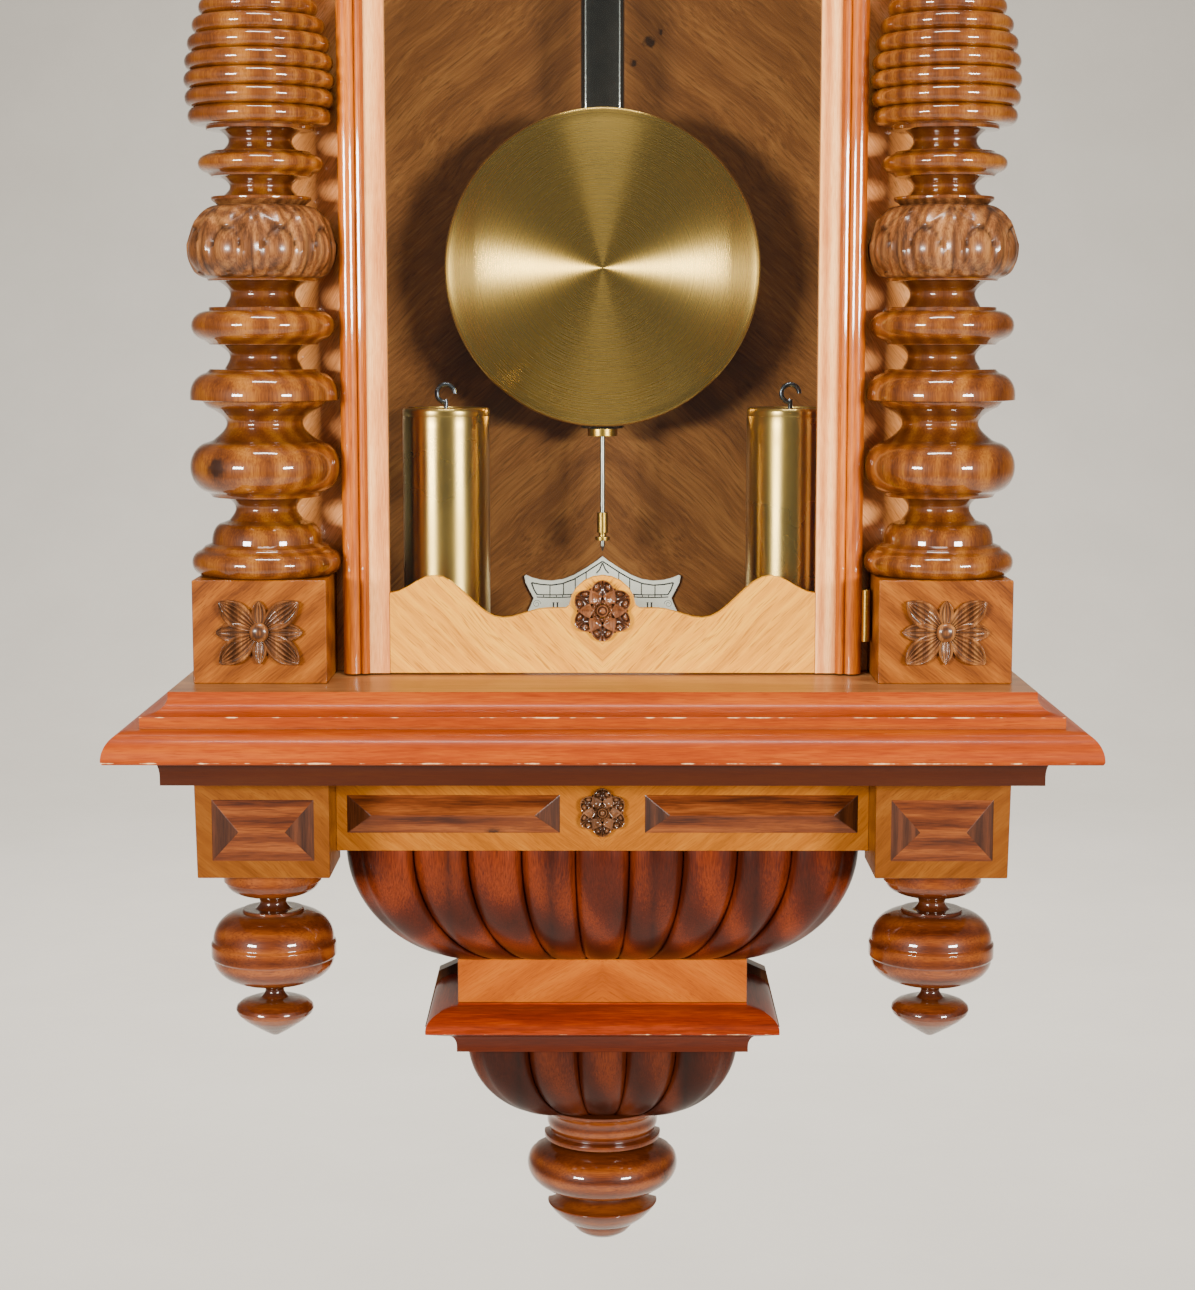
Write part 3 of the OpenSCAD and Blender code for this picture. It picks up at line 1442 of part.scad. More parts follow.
backboard();
hanger_plate();
side_frames();
side_panes();
case_top();
front_stiles();
column_left();
column_right();
column_blocks();
block_flowers();
shelf();
lower_frieze();
top_frieze();
corner_blocks();
diamond_panels();
frieze_rosettes();
corner_finials();
gadroon_bowl();
plinths();
wall_plate();
small_moulding();
small_bowls();
bottom_finial();
top_cornice();
crest_finial();
levelling_screws();
beat_plate();
gong_stand();
gong_coil();
seat_bracket();
movement_frame();
dial();
dial_bezel();
case_hinges();
gut_lines();
pulley_frames();
sheave_left();
sheave_right();
door_stiles();
door_top_rail();
door_bottom_panel();
door_glass();
door_rosettes();
door_hinges();
latch();
pendulum_rod();
pendulum_bob();
rating_nut();
suspension_spring();
anchor();
escape_wheel();
third_wheel();
centre_wheel();
hour_hand();
minute_wheel();
going_barrel();
strike_barrel();
strike_hammer();
weight_left();
weight_right();
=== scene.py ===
# %% [markdown]
# # A wall regulator clock, dressed for its portrait
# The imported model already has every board, column, wheel and joint in its right place. This
# lesson gives those solids the look of the real clock: French polished walnut, veneers, brushed
# brass, enamel and glass. Everything is in metres in the clock's own frame: the origin is the
# hole of the hanger plate, +Z is up, and the door looks towards -Y.

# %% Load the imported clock
import bpy
import bmesh
import json
from math import atan2, ceil, cos, hypot, pi, radians, sin, sqrt
from mathutils import Matrix, Vector


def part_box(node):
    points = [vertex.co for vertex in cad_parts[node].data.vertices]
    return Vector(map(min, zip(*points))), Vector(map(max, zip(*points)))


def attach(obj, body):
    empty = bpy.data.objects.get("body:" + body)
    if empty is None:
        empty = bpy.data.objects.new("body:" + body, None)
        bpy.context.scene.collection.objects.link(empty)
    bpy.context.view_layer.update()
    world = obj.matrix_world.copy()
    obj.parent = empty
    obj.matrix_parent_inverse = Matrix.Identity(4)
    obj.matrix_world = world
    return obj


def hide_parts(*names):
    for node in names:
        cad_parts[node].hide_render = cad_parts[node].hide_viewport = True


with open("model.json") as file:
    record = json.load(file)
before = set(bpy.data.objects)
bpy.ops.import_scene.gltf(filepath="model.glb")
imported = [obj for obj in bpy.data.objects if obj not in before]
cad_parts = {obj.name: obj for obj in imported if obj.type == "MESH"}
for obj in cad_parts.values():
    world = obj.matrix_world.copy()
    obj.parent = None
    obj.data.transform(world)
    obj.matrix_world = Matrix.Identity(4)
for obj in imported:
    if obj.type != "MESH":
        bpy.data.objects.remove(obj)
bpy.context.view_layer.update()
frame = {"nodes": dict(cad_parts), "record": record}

# %% [markdown]
# Sizes are easier to read in the maker's units, so points are written in millimetres from the
# wall and from the top of the shelf, and one function brings them into the clock's frame.

# %% Millimetres above the shelf to the clock's frame
HANGER = 925.5


def at(x, y, z):
    return Vector((x, y, z - HANGER)) / 1000


# the main sizes of the solids, which the finer shapes below have to fit
open_h, block_h = 857.5, 51.5
col_x, col_y, col_r = 169.0, 133.0, 37.5
shelf_h, frieze_h, corner_h = 45.2, 45.4, 52.8
front_y, block_front = 135.0, 166.1
door_hw, door_y1 = 130.7, 135.0
LOWER_Z0, CORNER_Z0 = -shelf_h - frieze_h, -shelf_h - corner_h
PLINTH_Z0 = LOWER_Z0 - 95.5
SMALL_Z1, SMALL_Z0 = PLINTH_Z0 - 27, PLINTH_Z0 - 78
CORNICE_Z1 = open_h + corner_h + shelf_h
print("hanger plate to shelf:", HANGER, "mm")

# %% [markdown]
# The camera stood about 1.35 m in front of the wall, a hand's breadth above the shelf, and
# looked down by 7.3 degrees. It was found from how the shelf's edges run together in the
# picture. The photograph shows the lower half of the clock only.

# %% Camera at the photograph's viewing angle
PHOTO_H, FOCAL_PX, SENSOR_MM = 1290, 2430, 36
camera_data = bpy.data.cameras.new("photo_camera")
camera_data.sensor_fit = "AUTO"
camera_data.sensor_width = SENSOR_MM
camera_data.lens = FOCAL_PX / PHOTO_H * SENSOR_MM
camera_data.clip_end = 60
camera = bpy.data.objects.new("photo_camera", camera_data)
camera.location = (0.0, -1.354, -0.7545)
camera.rotation_euler = (radians(90 - 7.27), 0, radians(0.118))
bpy.context.scene.collection.objects.link(camera)
bpy.context.scene.camera = camera
print("lens", round(camera_data.lens, 2), "mm")

# %% [markdown]
# One function adds a shader or geometry node with its settings and its links, and one turns the
# hex codes of a paint chart, which are sRGB, into the linear colours that Blender mixes.


# %% Node and colour helpers
def colour(code, alpha=1.0):
    parts = [int(code[i:i + 2], 16) / 255 for i in (1, 3, 5)]
    return tuple(c / 12.92 if c <= 0.04045 else ((c + 0.055) / 1.055) ** 2.4 for c in parts) + (alpha,)


def wire(tree, node, inputs):
    for key, value in inputs.items():
        if isinstance(value, bpy.types.NodeSocket):
            tree.links.new(value, node.inputs[key])
        else:
            node.inputs[key].default_value = value


def add(tree, kind, inputs=None, stops=None, **settings):
    new = tree.nodes.new(kind)
    for key, value in settings.items():
        setattr(new, key, value)
    if stops:
        row = new.color_ramp.elements
        while len(row) < len(stops):
            row.new(0.5)
        for element, (place, tone) in zip(row, stops):
            element.position = place
            element.color = colour(tone) if isinstance(tone, str) else (tone, tone, tone, 1)
    wire(tree, new, inputs or {})
    return new


def mottle(tree, where, scale, detail, **more):
    return add(tree, "ShaderNodeTexNoise", {"Vector": where, "Scale": scale, "Detail": detail, **more})


def stretched(tree, where, scale):
    return add(tree, "ShaderNodeMapping", {"Vector": where, "Scale": scale}).outputs[0]


def ramp(tree, amount, *stops):
    return add(tree, "ShaderNodeValToRGB", {0: amount}, stops=stops).outputs[0]


def tinted(tree, amount, tone, code):
    return add(tree, "ShaderNodeMix", {0: amount, 6: tone, 7: colour(code)}, data_type="RGBA").outputs[2]


def moved(tree, operation, *values):
    return add(tree, "ShaderNodeVectorMath", dict(enumerate(values)), operation=operation)


def new_material(name):
    made = bpy.data.materials.new(name)
    made.use_nodes = True
    made.node_tree.nodes.clear()
    tree = made.node_tree
    out = add(tree, "ShaderNodeOutputMaterial")
    surface = add(tree, "ShaderNodeBsdfPrincipled")
    tree.links.new(surface.outputs[0], out.inputs["Surface"])
    return made, tree, surface


print("black on the chart is", colour("#000000"))

# %% [markdown]
# Nearly all of the clock is walnut under many coats of shellac. What the eye reads is the
# growth rings (bands some millimetres wide), fine fibres along the grain, short dark pores,
# and a thin clear coat over it all that mirrors the lamps sharply. So one recipe makes every
# wood here, and each piece chooses its colours, its grain direction and its ring width. Two
# attributes are read from the mesh: one darkens grooves and coves with painted shade, together
# with the polish that gathers there, and "wear" shows pale bare wood where an edge has been rubbed.


# %% Wood under French polish
def knotted(tree, plain, tone, place, size):
    # a knot is a dark eye with swirled edges, at a place and size in millimetres
    off = moved(tree, "SUBTRACT", plain, tuple(at(*place)))
    swirl = mottle(tree, plain, 260.0, 3.0)
    off = moved(tree, "MULTIPLY_ADD", swirl.outputs["Color"], (0.006, 0.006, 0.006), off.outputs[0])
    off = moved(tree, "SUBTRACT", off.outputs[0], (0.003, 0.003, 0.003))
    far = moved(tree, "LENGTH", off.outputs[0]).outputs["Value"]
    eye = add(tree, "ShaderNodeMapRange", {0: far, 1: size / 1000, 2: size / 2000, 3: 0.0, 4: 0.9}).outputs[0]
    return tinted(tree, eye, tone, "#1C0D07")


def wood(name, pale, mid, dark, grain=(0, 0, 0), ring=7.0, figure=0.3, fibre=0.7, streaks=12.0, pores=0.45,
         rough=0.4, coat=0.5, coat_rough=0.1, matched=False, groove="#2A1208", streak=0.4, contrast=1.0,
         warp=0.0, knots=()):
    # ring, fibre and streaks are widths in millimetres; figure and streak say how much of each shows
    made, tree, surface = new_material(name)
    where = add(tree, "ShaderNodeTexCoord").outputs["Object"]
    plain = where
    if matched:
        # two leaves of one veneer, opened like a book about the centre line
        parts = add(tree, "ShaderNodeSeparateXYZ", {"Vector": where})
        side = add(tree, "ShaderNodeMath", {0: parts.outputs["X"]}, operation="ABSOLUTE")
        where = add(tree, "ShaderNodeCombineXYZ", {
            "X": side.outputs[0], "Y": parts.outputs["Y"], "Z": parts.outputs["Z"]}).outputs[0]
    if warp:
        drift = mottle(tree, where, 9.0, 2.0)
        where = moved(tree, "MULTIPLY_ADD", drift.outputs["Color"], (warp, warp, warp), where).outputs[0]
    # the pith of the log lies 70 mm to the side and 25 mm in front
    turned = add(tree, "ShaderNodeMapping", {
        "Vector": where, "Rotation": [radians(a) for a in grain], "Location": [0.07, 0.025, 0]}).outputs[0]
    slow = stretched(tree, turned, (1, 1, 0.1))
    rings = add(tree, "ShaderNodeTexWave", {
        "Vector": slow, "Scale": 314 / ring, "Distortion": 7.0, "Detail": 3.0,
        "Detail Scale": 0.14, "Detail Roughness": 0.65}, wave_type="RINGS", rings_direction="Z")
    broad = mottle(tree, slow, 1000 / streaks, 5.0, Roughness=0.55)
    along = stretched(tree, turned, (1, 1, 0.05))
    fibres = mottle(tree, along, 1000 / fibre, 4.0, Roughness=0.6)
    specks = mottle(tree, along, 1500 / fibre, 1.0)
    blend = add(tree, "ShaderNodeMix", {0: figure, 2: broad.outputs[0], 3: rings.outputs["Fac"]})
    blend = add(tree, "ShaderNodeMix", {0: streak, 2: blend.outputs[0], 3: fibres.outputs[0]})
    spread = 0.17 / contrast
    tone = ramp(tree, blend.outputs[0], (0.5 - spread, dark), (0.5, mid), (0.5 + spread, pale))
    pore = ramp(tree, specks.outputs[0], (0.57, 0.0), (0.7, 1.0))
    amount = add(tree, "ShaderNodeMath", {0: pore, 1: pores}, operation="MULTIPLY").outputs[0]
    tone = tinted(tree, amount, tone, dark)
    for place, size in knots:
        tone = knotted(tree, plain, tone, place, size)
    # painted shade in grooves, coves and cuts, with the polish gathered there, tints towards the groove colour
    polish_and_shade = add(tree, "ShaderNodeAttribute", attribute_name="polish_and_shade")
    tone = tinted(tree, polish_and_shade.outputs["Fac"], tone, groove)
    worn = add(tree, "ShaderNodeAttribute", attribute_name="wear")
    chips = mottle(tree, plain, 130.0, 5.0)
    rubbed = add(tree, "ShaderNodeMath", {0: worn.outputs["Fac"], 1: chips.outputs[0]}, operation="MULTIPLY")
    rubbed = ramp(tree, rubbed.outputs[0], (0.4, 0.0), (0.5, 1.0))
    tone = tinted(tree, rubbed, tone, "#E8BE8C")
    # below the clear coat the wood itself hardly mirrors at all
    wire(tree, surface, {
        "Base Color": tone, "Roughness": rough, "IOR": 1.5, "Specular IOR Level": 0.12,
        "Coat Weight": coat, "Coat Roughness": coat_rough, "Coat IOR": 1.52})
    grainy = add(tree, "ShaderNodeMix", {0: 0.5, 2: fibres.outputs[0], 3: specks.outputs[0]})
    relief = add(tree, "ShaderNodeBump", {"Strength": 0.12, "Distance": 0.0004, "Height": grainy.outputs[0]})
    tree.links.new(relief.outputs[0], surface.inputs["Normal"])
    return made


print("one recipe for every wood")

# %% [markdown]
# Now each wood by name, with what it gives the eye. The first three codes are its pale, middle
# and dark tone. A strong clear coat gives a turned piece its small sharp lamp images; a weak one
# keeps the full colour of a moulding or a veneer.

# %% The woods of the clock
UP, ACROSS, INWARD = (0, 0, 0), (0, 90, 0), (90, 0, 0)
# columns: golden brown under a mirror coat, so that each bead carries a pair of lamp images
turned_walnut = wood("turned_walnut", "#905817", "#6B3709", "#471F03", UP, ring=9, figure=0.2, coat=1.0,
                     coat_rough=0.03, rough=0.45, streaks=16, contrast=1.15, groove="#3A1804",
                     knots=(((-189.0, -164.0, 106.0), 7.5),))
# shelf: warm orange red with long quiet streaks, the strongest colour of the clock
MOULDED = dict(ring=14, figure=0.15)
SHELF = dict(MOULDED, coat=0.1, coat_rough=0.14, streaks=9, contrast=0.8)
shelf_walnut = wood("shelf_walnut", "#A14D0A", "#873404", "#661F02", ACROSS, **SHELF)
# the same on the shelf's ends, where the grain runs from the wall to the front
shelf_walnut_side = wood("shelf_walnut_side", "#A14D0A", "#873404", "#661F02", INWARD, **SHELF)
# top of the shelf: paler and duller than its front
shelf_top_walnut = wood("shelf_top_walnut", "#AD7A48", "#8F5E34", "#6B3F21", ACROSS, ring=14, figure=0.2,
                        coat=0.3, coat_rough=0.25)
# door stiles: bright orange with a long gloss line down each round
door_walnut = wood("door_walnut", "#CE7214", "#A34F09", "#732F04", UP, ring=12, figure=0.15, coat=1.0,
                   coat_rough=0.05, streaks=14)
# inner strip of a stile: a pale fillet that draws a light frame round the glass
strip_walnut = wood("strip_walnut", "#FFBF79", "#E79A56", "#BF7138", UP, ring=6, figure=0.35, coat=0.35,
                    coat_rough=0.2, streaks=5, fibre=0.5)
# column blocks: slanting veneer, mirrored from left to right
block_walnut = wood("block_walnut", "#9A5B18", "#793F0B", "#451E04", (0, 48, 0), ring=13, figure=0.25,
                    coat=0.3, coat_rough=0.16, matched=True, contrast=0.8, warp=0.02)
# bowls: the darkest wood, with painted shade nearly black in the grooves, so that the lobes stand out; the small
# bowls' copy is darker still, painting the shadow under the plinth
BOWL = dict(ring=26, figure=0.35, coat_rough=0.16, rough=0.42, streaks=20, contrast=0.65)
small_bowl_walnut_painted_shade = wood("small_bowl_walnut_painted_shade", "#5E2406", "#360F02", "#140401", UP, coat=0.14,
                         groove="#140401", **BOWL)
# friezes and their corner blocks: straw brown veneer laid in a V, with hardly any figure
VENEER = dict(ring=7, figure=0.1, coat=0.25, coat_rough=0.18, matched=True, streaks=12, contrast=0.6, warp=0.02)
frieze_veneer = wood("frieze_veneer", "#AE6E1E", "#8E500C", "#653103", (0, -50, 0), **VENEER)
# a shade darker at the corners
corner_veneer = wood("corner_veneer", "#845116", "#6C3A08", "#4B2202", (0, -50, 0), **VENEER)
# long faces of the raised panels: plain brown with a knot, as in the picture
panel_walnut = wood("panel_walnut", "#7E4319", "#5D2A0C", "#331305", ACROSS, ring=9, figure=0.25, coat=0.25,
                    coat_rough=0.16, streaks=6, knots=(((-55.0, -136.0, -84.0), 7.0),), contrast=1.1)
# end faces of the raised panels: end grain drinks the polish and turns dark, which shows the form
facet_walnut = wood("facet_walnut", "#542A13", "#3B1C0A", "#210C04", UP, ring=6, figure=0.3, coat=0.4,
                    coat_rough=0.18)
bowl_walnut = wood("bowl_walnut", "#7E3009", "#461403", "#1C0601", UP, coat=0.16, groove="#1E0602", **BOWL)
# finials: red brown and wet with polish, with one knot
finial_walnut = wood("finial_walnut", "#83420E", "#5F2805", "#3A1302", ACROSS, ring=9, figure=0.3, coat=1.0,
                     coat_rough=0.03, groove="#2C1004", knots=(((38.0, -30.0, -302.0), 6.0),))
# plinth: orange veneer with broad soft bands
plinth_veneer = wood("plinth_veneer", "#B26311", "#974906", "#702E03", (0, 58, 0), ring=22, figure=0.22,
                     coat=0.25, coat_rough=0.16, matched=True, contrast=0.6, warp=0.03)
# small moulding: the reddest wood, a thin bright line under the plinth
moulding_walnut = wood("moulding_walnut", "#933604", "#702002", "#4B1102", ACROSS, coat=0.15, coat_rough=0.12,
                       streaks=9, **MOULDED)
moulding_walnut_side = wood("moulding_walnut_side", "#933604", "#702002", "#4B1102", INWARD, coat=0.2,
                            coat_rough=0.12, **MOULDED)
# door panel: honey yellow with open dark pores, the lightest wood and the eye's resting place
pale_veneer = wood("pale_veneer", "#EDB02E", "#D69022", "#9A5F18", (0, -42, 0), ring=9, figure=0.12, coat=0.06,
                   coat_rough=0.2, matched=True, pores=0.7, fibre=1.1, streaks=14, contrast=0.75, warp=0.02)
# stiles of the case: light orange veneer beside the door
inner_veneer = wood("inner_veneer", "#F7B16D", "#D48A45", "#8C4D20", (0, 35, 0), ring=19, figure=0.25, coat=0.4,
                    coat_rough=0.2, matched=True, warp=0.03, contrast=0.8)
# backboard: matt brown veneer in four quarters, calm enough to show the bob, with small knots
back_walnut = wood("back_walnut", "#A26C38", "#744520", "#442610", (0, 46, 0), ring=26, figure=0.15, coat=0.3,
                   coat_rough=0.3, matched=True, fibre=1.3, streaks=22, streak=0.5, contrast=0.62, warp=0.03,
                   knots=(((17.0, -17.0, 316.0), 3.0), ((25.0, -17.0, 327.0), 3.6), ((31.0, -17.0, 333.0), 2.2)))
# carving on columns and blocks: dry brown ridges over near-black cuts darkened with painted shade
CARVED = dict(ring=5, figure=0.2)
carved_walnut = wood("carved_walnut", "#9C6838", "#6E4120", "#3E220D", UP, coat=0.55, coat_rough=0.2, rough=0.42,
                     groove="#2A1509", contrast=1.2, **CARVED)
# rosettes: the same wood, glossier on the frieze and darker still on the door
carved_rosette = wood("carved_rosette", "#8E5E3A", "#6A4226", "#40240F", UP, coat=0.7, coat_rough=0.12,
                      groove="#2A160B", **CARVED)
dark_rosette = wood("dark_rosette", "#8A5632", "#64391E", "#3C1F0E", UP, coat=0.9, coat_rough=0.08,
                    groove="#2A150B", **CARVED)
# sides, top and wall plate: a plain dark brown that steps back; on the wall plate the dark also paints the shadow it
# lies in
dark_walnut = wood("dark_walnut", "#6A3E1E", "#4C2A14", "#2E170A", UP, ring=12, figure=0.3, coat=0.3, coat_rough=0.2)
print(len(bpy.data.materials), "materials so far")

# %% [markdown]
# The metals, the glass and the rest. Lathe-turned brass (the bob) is covered with fine rings
# about its centre, so its highlight opens into a bow tie. That is anisotropy: the tangent runs
# round the axis that the piece was turned on. The weights were brushed round their upright axis.


# %% Brass, steel and black finishes
def finished(tree, surface, tones, gloss_from, rough, spread, relief_from, bump, depth):
    # tones go to the colour, one texture to the roughness and one to a fine relief
    low, high = rough * (1 - spread), rough * (1 + spread)
    gloss = add(tree, "ShaderNodeMapRange", {0: gloss_from, 1: 0.3, 2: 0.7, 3: high, 4: low})
    relief = add(tree, "ShaderNodeBump", {"Strength": bump, "Distance": depth, "Height": relief_from})
    wire(tree, surface, {"Base Color": tones, "Roughness": gloss.outputs[0], "Normal": relief.outputs[0]})


def metal(name, tone, dull, rough, axis=None, stretch=(1, 1, 1), scratch=2600, bump=0.15, anisotropic=0.75,
          middle=(0, 0, 0), cloudy=0.45):
    made, tree, surface = new_material(name)
    where = add(tree, "ShaderNodeTexCoord").outputs["Object"]
    surface.inputs["Metallic"].default_value = 1.0
    centred = add(tree, "ShaderNodeMapping", {"Vector": where, "Location": [-m for m in middle]}).outputs[0]
    if axis == "TURNED":
        # the distance from the axis of the lathe, so that the marks are rings
        away = moved(tree, "LENGTH", stretched(tree, centred, (1, 0, 1))).outputs["Value"]
        lines = add(tree, "ShaderNodeTexNoise", {"W": away, "Scale": scratch, "Detail": 3.0}, noise_dimensions="1D")
    else:
        lines = mottle(tree, stretched(tree, centred, stretch), scratch, 3.0)
    cloud = mottle(tree, where, 22.0, 4.0)
    mixed = add(tree, "ShaderNodeMix", {0: cloudy, 2: lines.outputs[0], 3: cloud.outputs[0]}).outputs[0]
    tones = ramp(tree, mixed, (0.3, dull), (0.7, tone))
    finished(tree, surface, tones, mixed, rough, 0.2, lines.outputs[0], bump, 0.0001)
    if axis:
        # the marks run round the axis, so the highlight stretches a quarter turn away from them
        run = add(tree, "ShaderNodeTangent", direction_type="RADIAL", axis="Y" if axis == "TURNED" else axis)
        wire(tree, surface, {"Anisotropic": anisotropic, "Anisotropic Rotation": 0.25, "Tangent": run.outputs[0]})
    return made


BOB_Y, BOB_Z = -50.0, 206.0
# the bob: warm yellow brass whose ring marks open the lamps into two bright sectors
bob_brass = metal("brushed_bob_brass", "#E2B868", "#CCA050", 0.27, "TURNED", middle=at(0, BOB_Y, BOB_Z),
                  scratch=1500, anisotropic=0.96, bump=0.006)
# the weights: paler brass with broad upright bands of light and dark
weight_brass = metal("brushed_weight_brass", "#C8A664", "#B39150", 0.3, "Z", stretch=(0.05, 0.05, 1), scratch=900,
                     anisotropic=0.6, bump=0.0, cloudy=1.0)
# wheels and plates: clean polished brass with crisp reflections
polished_brass = metal("polished_brass", "#D9B464", "#A98238", 0.16, scratch=400, bump=0.05)
# fittings: brass under old lacquer, softer and browner
cast_brass = metal("lacquered_brass", "#C6A050", "#967230", 0.3, scratch=700, bump=0.12)
# plain steel with long file marks
grained_steel = metal("grained_steel", "#B9B9B6", "#8C8C88", 0.3, stretch=(1, 1, 0.08), scratch=1200)
# hands: steel heated until it turns deep blue
blued_steel = metal("blued_steel", "#26345E", "#141B33", 0.22, scratch=500, bump=0.05)
# springs, gong and hooks: hardened steel, grey with a cold tinge
bluish_spring = metal("tempered_spring_steel", "#6E7078", "#4A4E5C", 0.28, scratch=500, bump=0.05)


def coating(name, tone, second, rough, coat=0.0, scale=60, bump=0.05):
    made, tree, surface = new_material(name)
    where = add(tree, "ShaderNodeTexCoord").outputs["Object"]
    cloud = mottle(tree, where, scale, 5.0, Roughness=0.6)
    fine = mottle(tree, where, scale * 14, 3.0)
    tones = ramp(tree, cloud.outputs[0], (0.35, second), (0.65, tone))
    finished(tree, surface, tones, fine.outputs[0], rough, 0.15, fine.outputs[0], bump, 0.0003)
    wire(tree, surface, {"IOR": 1.5, "Coat Weight": coat})
    return made


# bracket and gong stand: grainy black iron that takes no highlight
black_iron = coating("blackened_cast_iron", "#2A2A2B", "#161617", 0.55, scale=180, bump=0.35)
# pendulum rod: black polish, seen as a dark band between two bright lines
ebonised = coating("ebonised_rod", "#1C1815", "#0D0B0A", 0.22, coat=1.0, scale=40, bump=0.03)
# dial and scale plate: warm white enamel, the one white on the clock
white_enamel = coating("fired_white_enamel", "#FCFAF4", "#F2EFE6", 0.25, coat=0.5, scale=25, bump=0.03)
# printed lines: matt black on the enamel
black_ink = coating("black_fired_ink", "#16171B", "#0D0D10", 0.4, scale=200)
# gut lines: yellowish twisted gut with a fibrous sheen
gut = coating("twisted_gut", "#8E7648", "#5E4A26", 0.5, scale=900, bump=0.4)
print(len(bpy.data.materials), "materials so far")

# %% [markdown]
# Panes of old sheet glass. Light passes them almost untouched, so only their gloss is kept: a
# faint mirror that grows at a slant and ripples a little, which tells the eye that they are there.


# %% Glass
def glazing(name):
    made, tree, surface = new_material(name)
    where = add(tree, "ShaderNodeTexCoord").outputs["Object"]
    haze = mottle(tree, where, 9.0, 5.0)
    gloss = add(tree, "ShaderNodeMapRange", {0: haze.outputs[0], 1: 0.4, 2: 0.8, 3: 0.0, 4: 0.03})
    ripple = mottle(tree, where, 14.0, 1.0)
    relief = add(tree, "ShaderNodeBump", {"Strength": 0.02, "Distance": 0.002, "Height": ripple.outputs[0]})
    wire(tree, surface, {
        "Base Color": colour("#F4F8F6"), "Transmission Weight": 1.0, "IOR": 1.45,
        "Roughness": gloss.outputs[0], "Normal": relief.outputs[0]})
    clear = add(tree, "ShaderNodeBsdfTransparent", {"Color": colour("#F6F9F7")})
    gleam = add(tree, "ShaderNodeBsdfGlossy", {"Color": colour("#FFFFFF"), "Roughness": 0.02})
    # only the face that the light enters mirrors; the far face would trap every slanting ray
    share = add(tree, "ShaderNodeFresnel", {"IOR": 1.45, "Normal": relief.outputs[0]})
    far_side = add(tree, "ShaderNodeNewGeometry").outputs["Backfacing"]
    entering = add(tree, "ShaderNodeMath", {0: 1.0, 1: far_side}, operation="SUBTRACT")
    mirrored = add(tree, "ShaderNodeMath", {0: share.outputs[0], 1: entering.outputs[0]}, operation="MULTIPLY")
    both = add(tree, "ShaderNodeMixShader", {0: mirrored.outputs[0], 1: clear.outputs[0], 2: gleam.outputs[0]})
    out = [n for n in tree.nodes if n.type == "OUTPUT_MATERIAL"][0]
    tree.links.new(both.outputs[0], out.inputs["Surface"])
    return made


sheet_glass = glazing("sheet_glass")
print(len(bpy.data.materials), "materials")

# %% [markdown]
# A CAD mesh arrives as loose triangles with knife-sharp edges. A copy is merged, its flat faces
# are joined again, and every sharp edge gets a small round, because it is the thin line of light
# on an edge that makes wood and brass look solid. The copy then stands for the CAD node.


# %% Round the edges of a copied node
def mesh_from(name, bm):
    mesh = bpy.data.meshes.new(name)
    bm.to_mesh(mesh)
    bm.free()
    return mesh


def placed_in_scene(name, data):
    made = bpy.data.objects.new(name, data)
    bpy.context.scene.collection.objects.link(made)
    return made


def smoothed(bm):
    for face in bm.faces:
        face.smooth = True


def grown(name, bm, materials, body, slot_name, nodes=(), smooth=35):
    # edges sharper than smooth degrees stay sharp
    bm.normal_update()
    smoothed(bm)
    made = placed_in_scene(name, mesh_from(name, bm))
    for material in materials:
        made.data.materials.append(material)
    made.data.set_sharp_from_angle(angle=radians(smooth))
    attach(made, body)
    if nodes:
        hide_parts(*nodes)
    return made


SLOT = {part["node"]: part["material_slot"] for part in frame["record"]["subparts"]}
BODY = {node: body for body, group in frame["record"]["behaviour"]["bodies"].items() for node in group}


def merged(node, keep=None, flat=0.6):
    bm = bmesh.new()
    bm.from_mesh(frame["nodes"][node].data)
    bmesh.ops.remove_doubles(bm, verts=bm.verts, dist=2e-6)
    if keep:
        wrong = [f for f in bm.faces if not keep(f.calc_center_median())]
        bmesh.ops.delete(bm, geom=wrong, context="FACES")
    bmesh.ops.dissolve_limit(bm, angle_limit=radians(flat), verts=bm.verts, edges=bm.edges)
    return bm


def rounded(bm, width, sharp=38, segments=2):
    edges = [e for e in bm.edges if len(e.link_faces) == 2 and e.calc_face_angle(0) > radians(sharp)]
    if width and edges:
        bmesh.ops.bevel(bm, geom=edges, offset=width / 1000, offset_type="OFFSET", segments=segments,
                        profile=0.5, affect="EDGES", clamp_overlap=True)
    return bm


def dress(node, materials, width=0.4, sharp=38, choose=None, smooth=38):
    bm = rounded(merged(node), width, sharp)
    if choose:
        for face in bm.faces:
            face.material_index = choose(face)
    made = grown(node + "_piece", bm, materials, BODY[node], SLOT[node], [], smooth)
    # large flat faces keep their own direction, so that only the rounds catch the lamps
    made.modifiers.new("weighted", "WEIGHTED_NORMAL").keep_sharp = True
    graph = bpy.context.evaluated_depsgraph_get()
    plain = made.data
    made.data = bpy.data.meshes.new_from_object(made.evaluated_get(graph), depsgraph=graph)
    bpy.data.meshes.remove(plain)
    made.modifiers.clear()
    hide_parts(node)
    return made


def ringed(bm, rings, around=True):
    # joins neighbouring rings of points with four-sided faces; around closes each ring
    faces = []
    for a, b in zip(rings, rings[1:]):
        count = len(a)
        for i in range(count if around else count - 1):
            j = (i + 1) % count
            faces.append(bm.faces.new((a[i], a[j], b[j], b[i])))
    return faces


def capped(bm, rings):
    bm.faces.new(list(reversed(rings[0])))
    bm.faces.new(rings[-1])


print(len(SLOT), "nodes to dress")

# %% [markdown]
# The columns were turned on a lathe, so each is one outline of beads, coves and fillets spun
# about its axis. The same five small functions that describe the solids are repeated here with
# finer steps, and every corner is eased a little as sandpaper leaves it. A column sits over the
# corner of the case: the quarter towards the case is cut away to clear it.


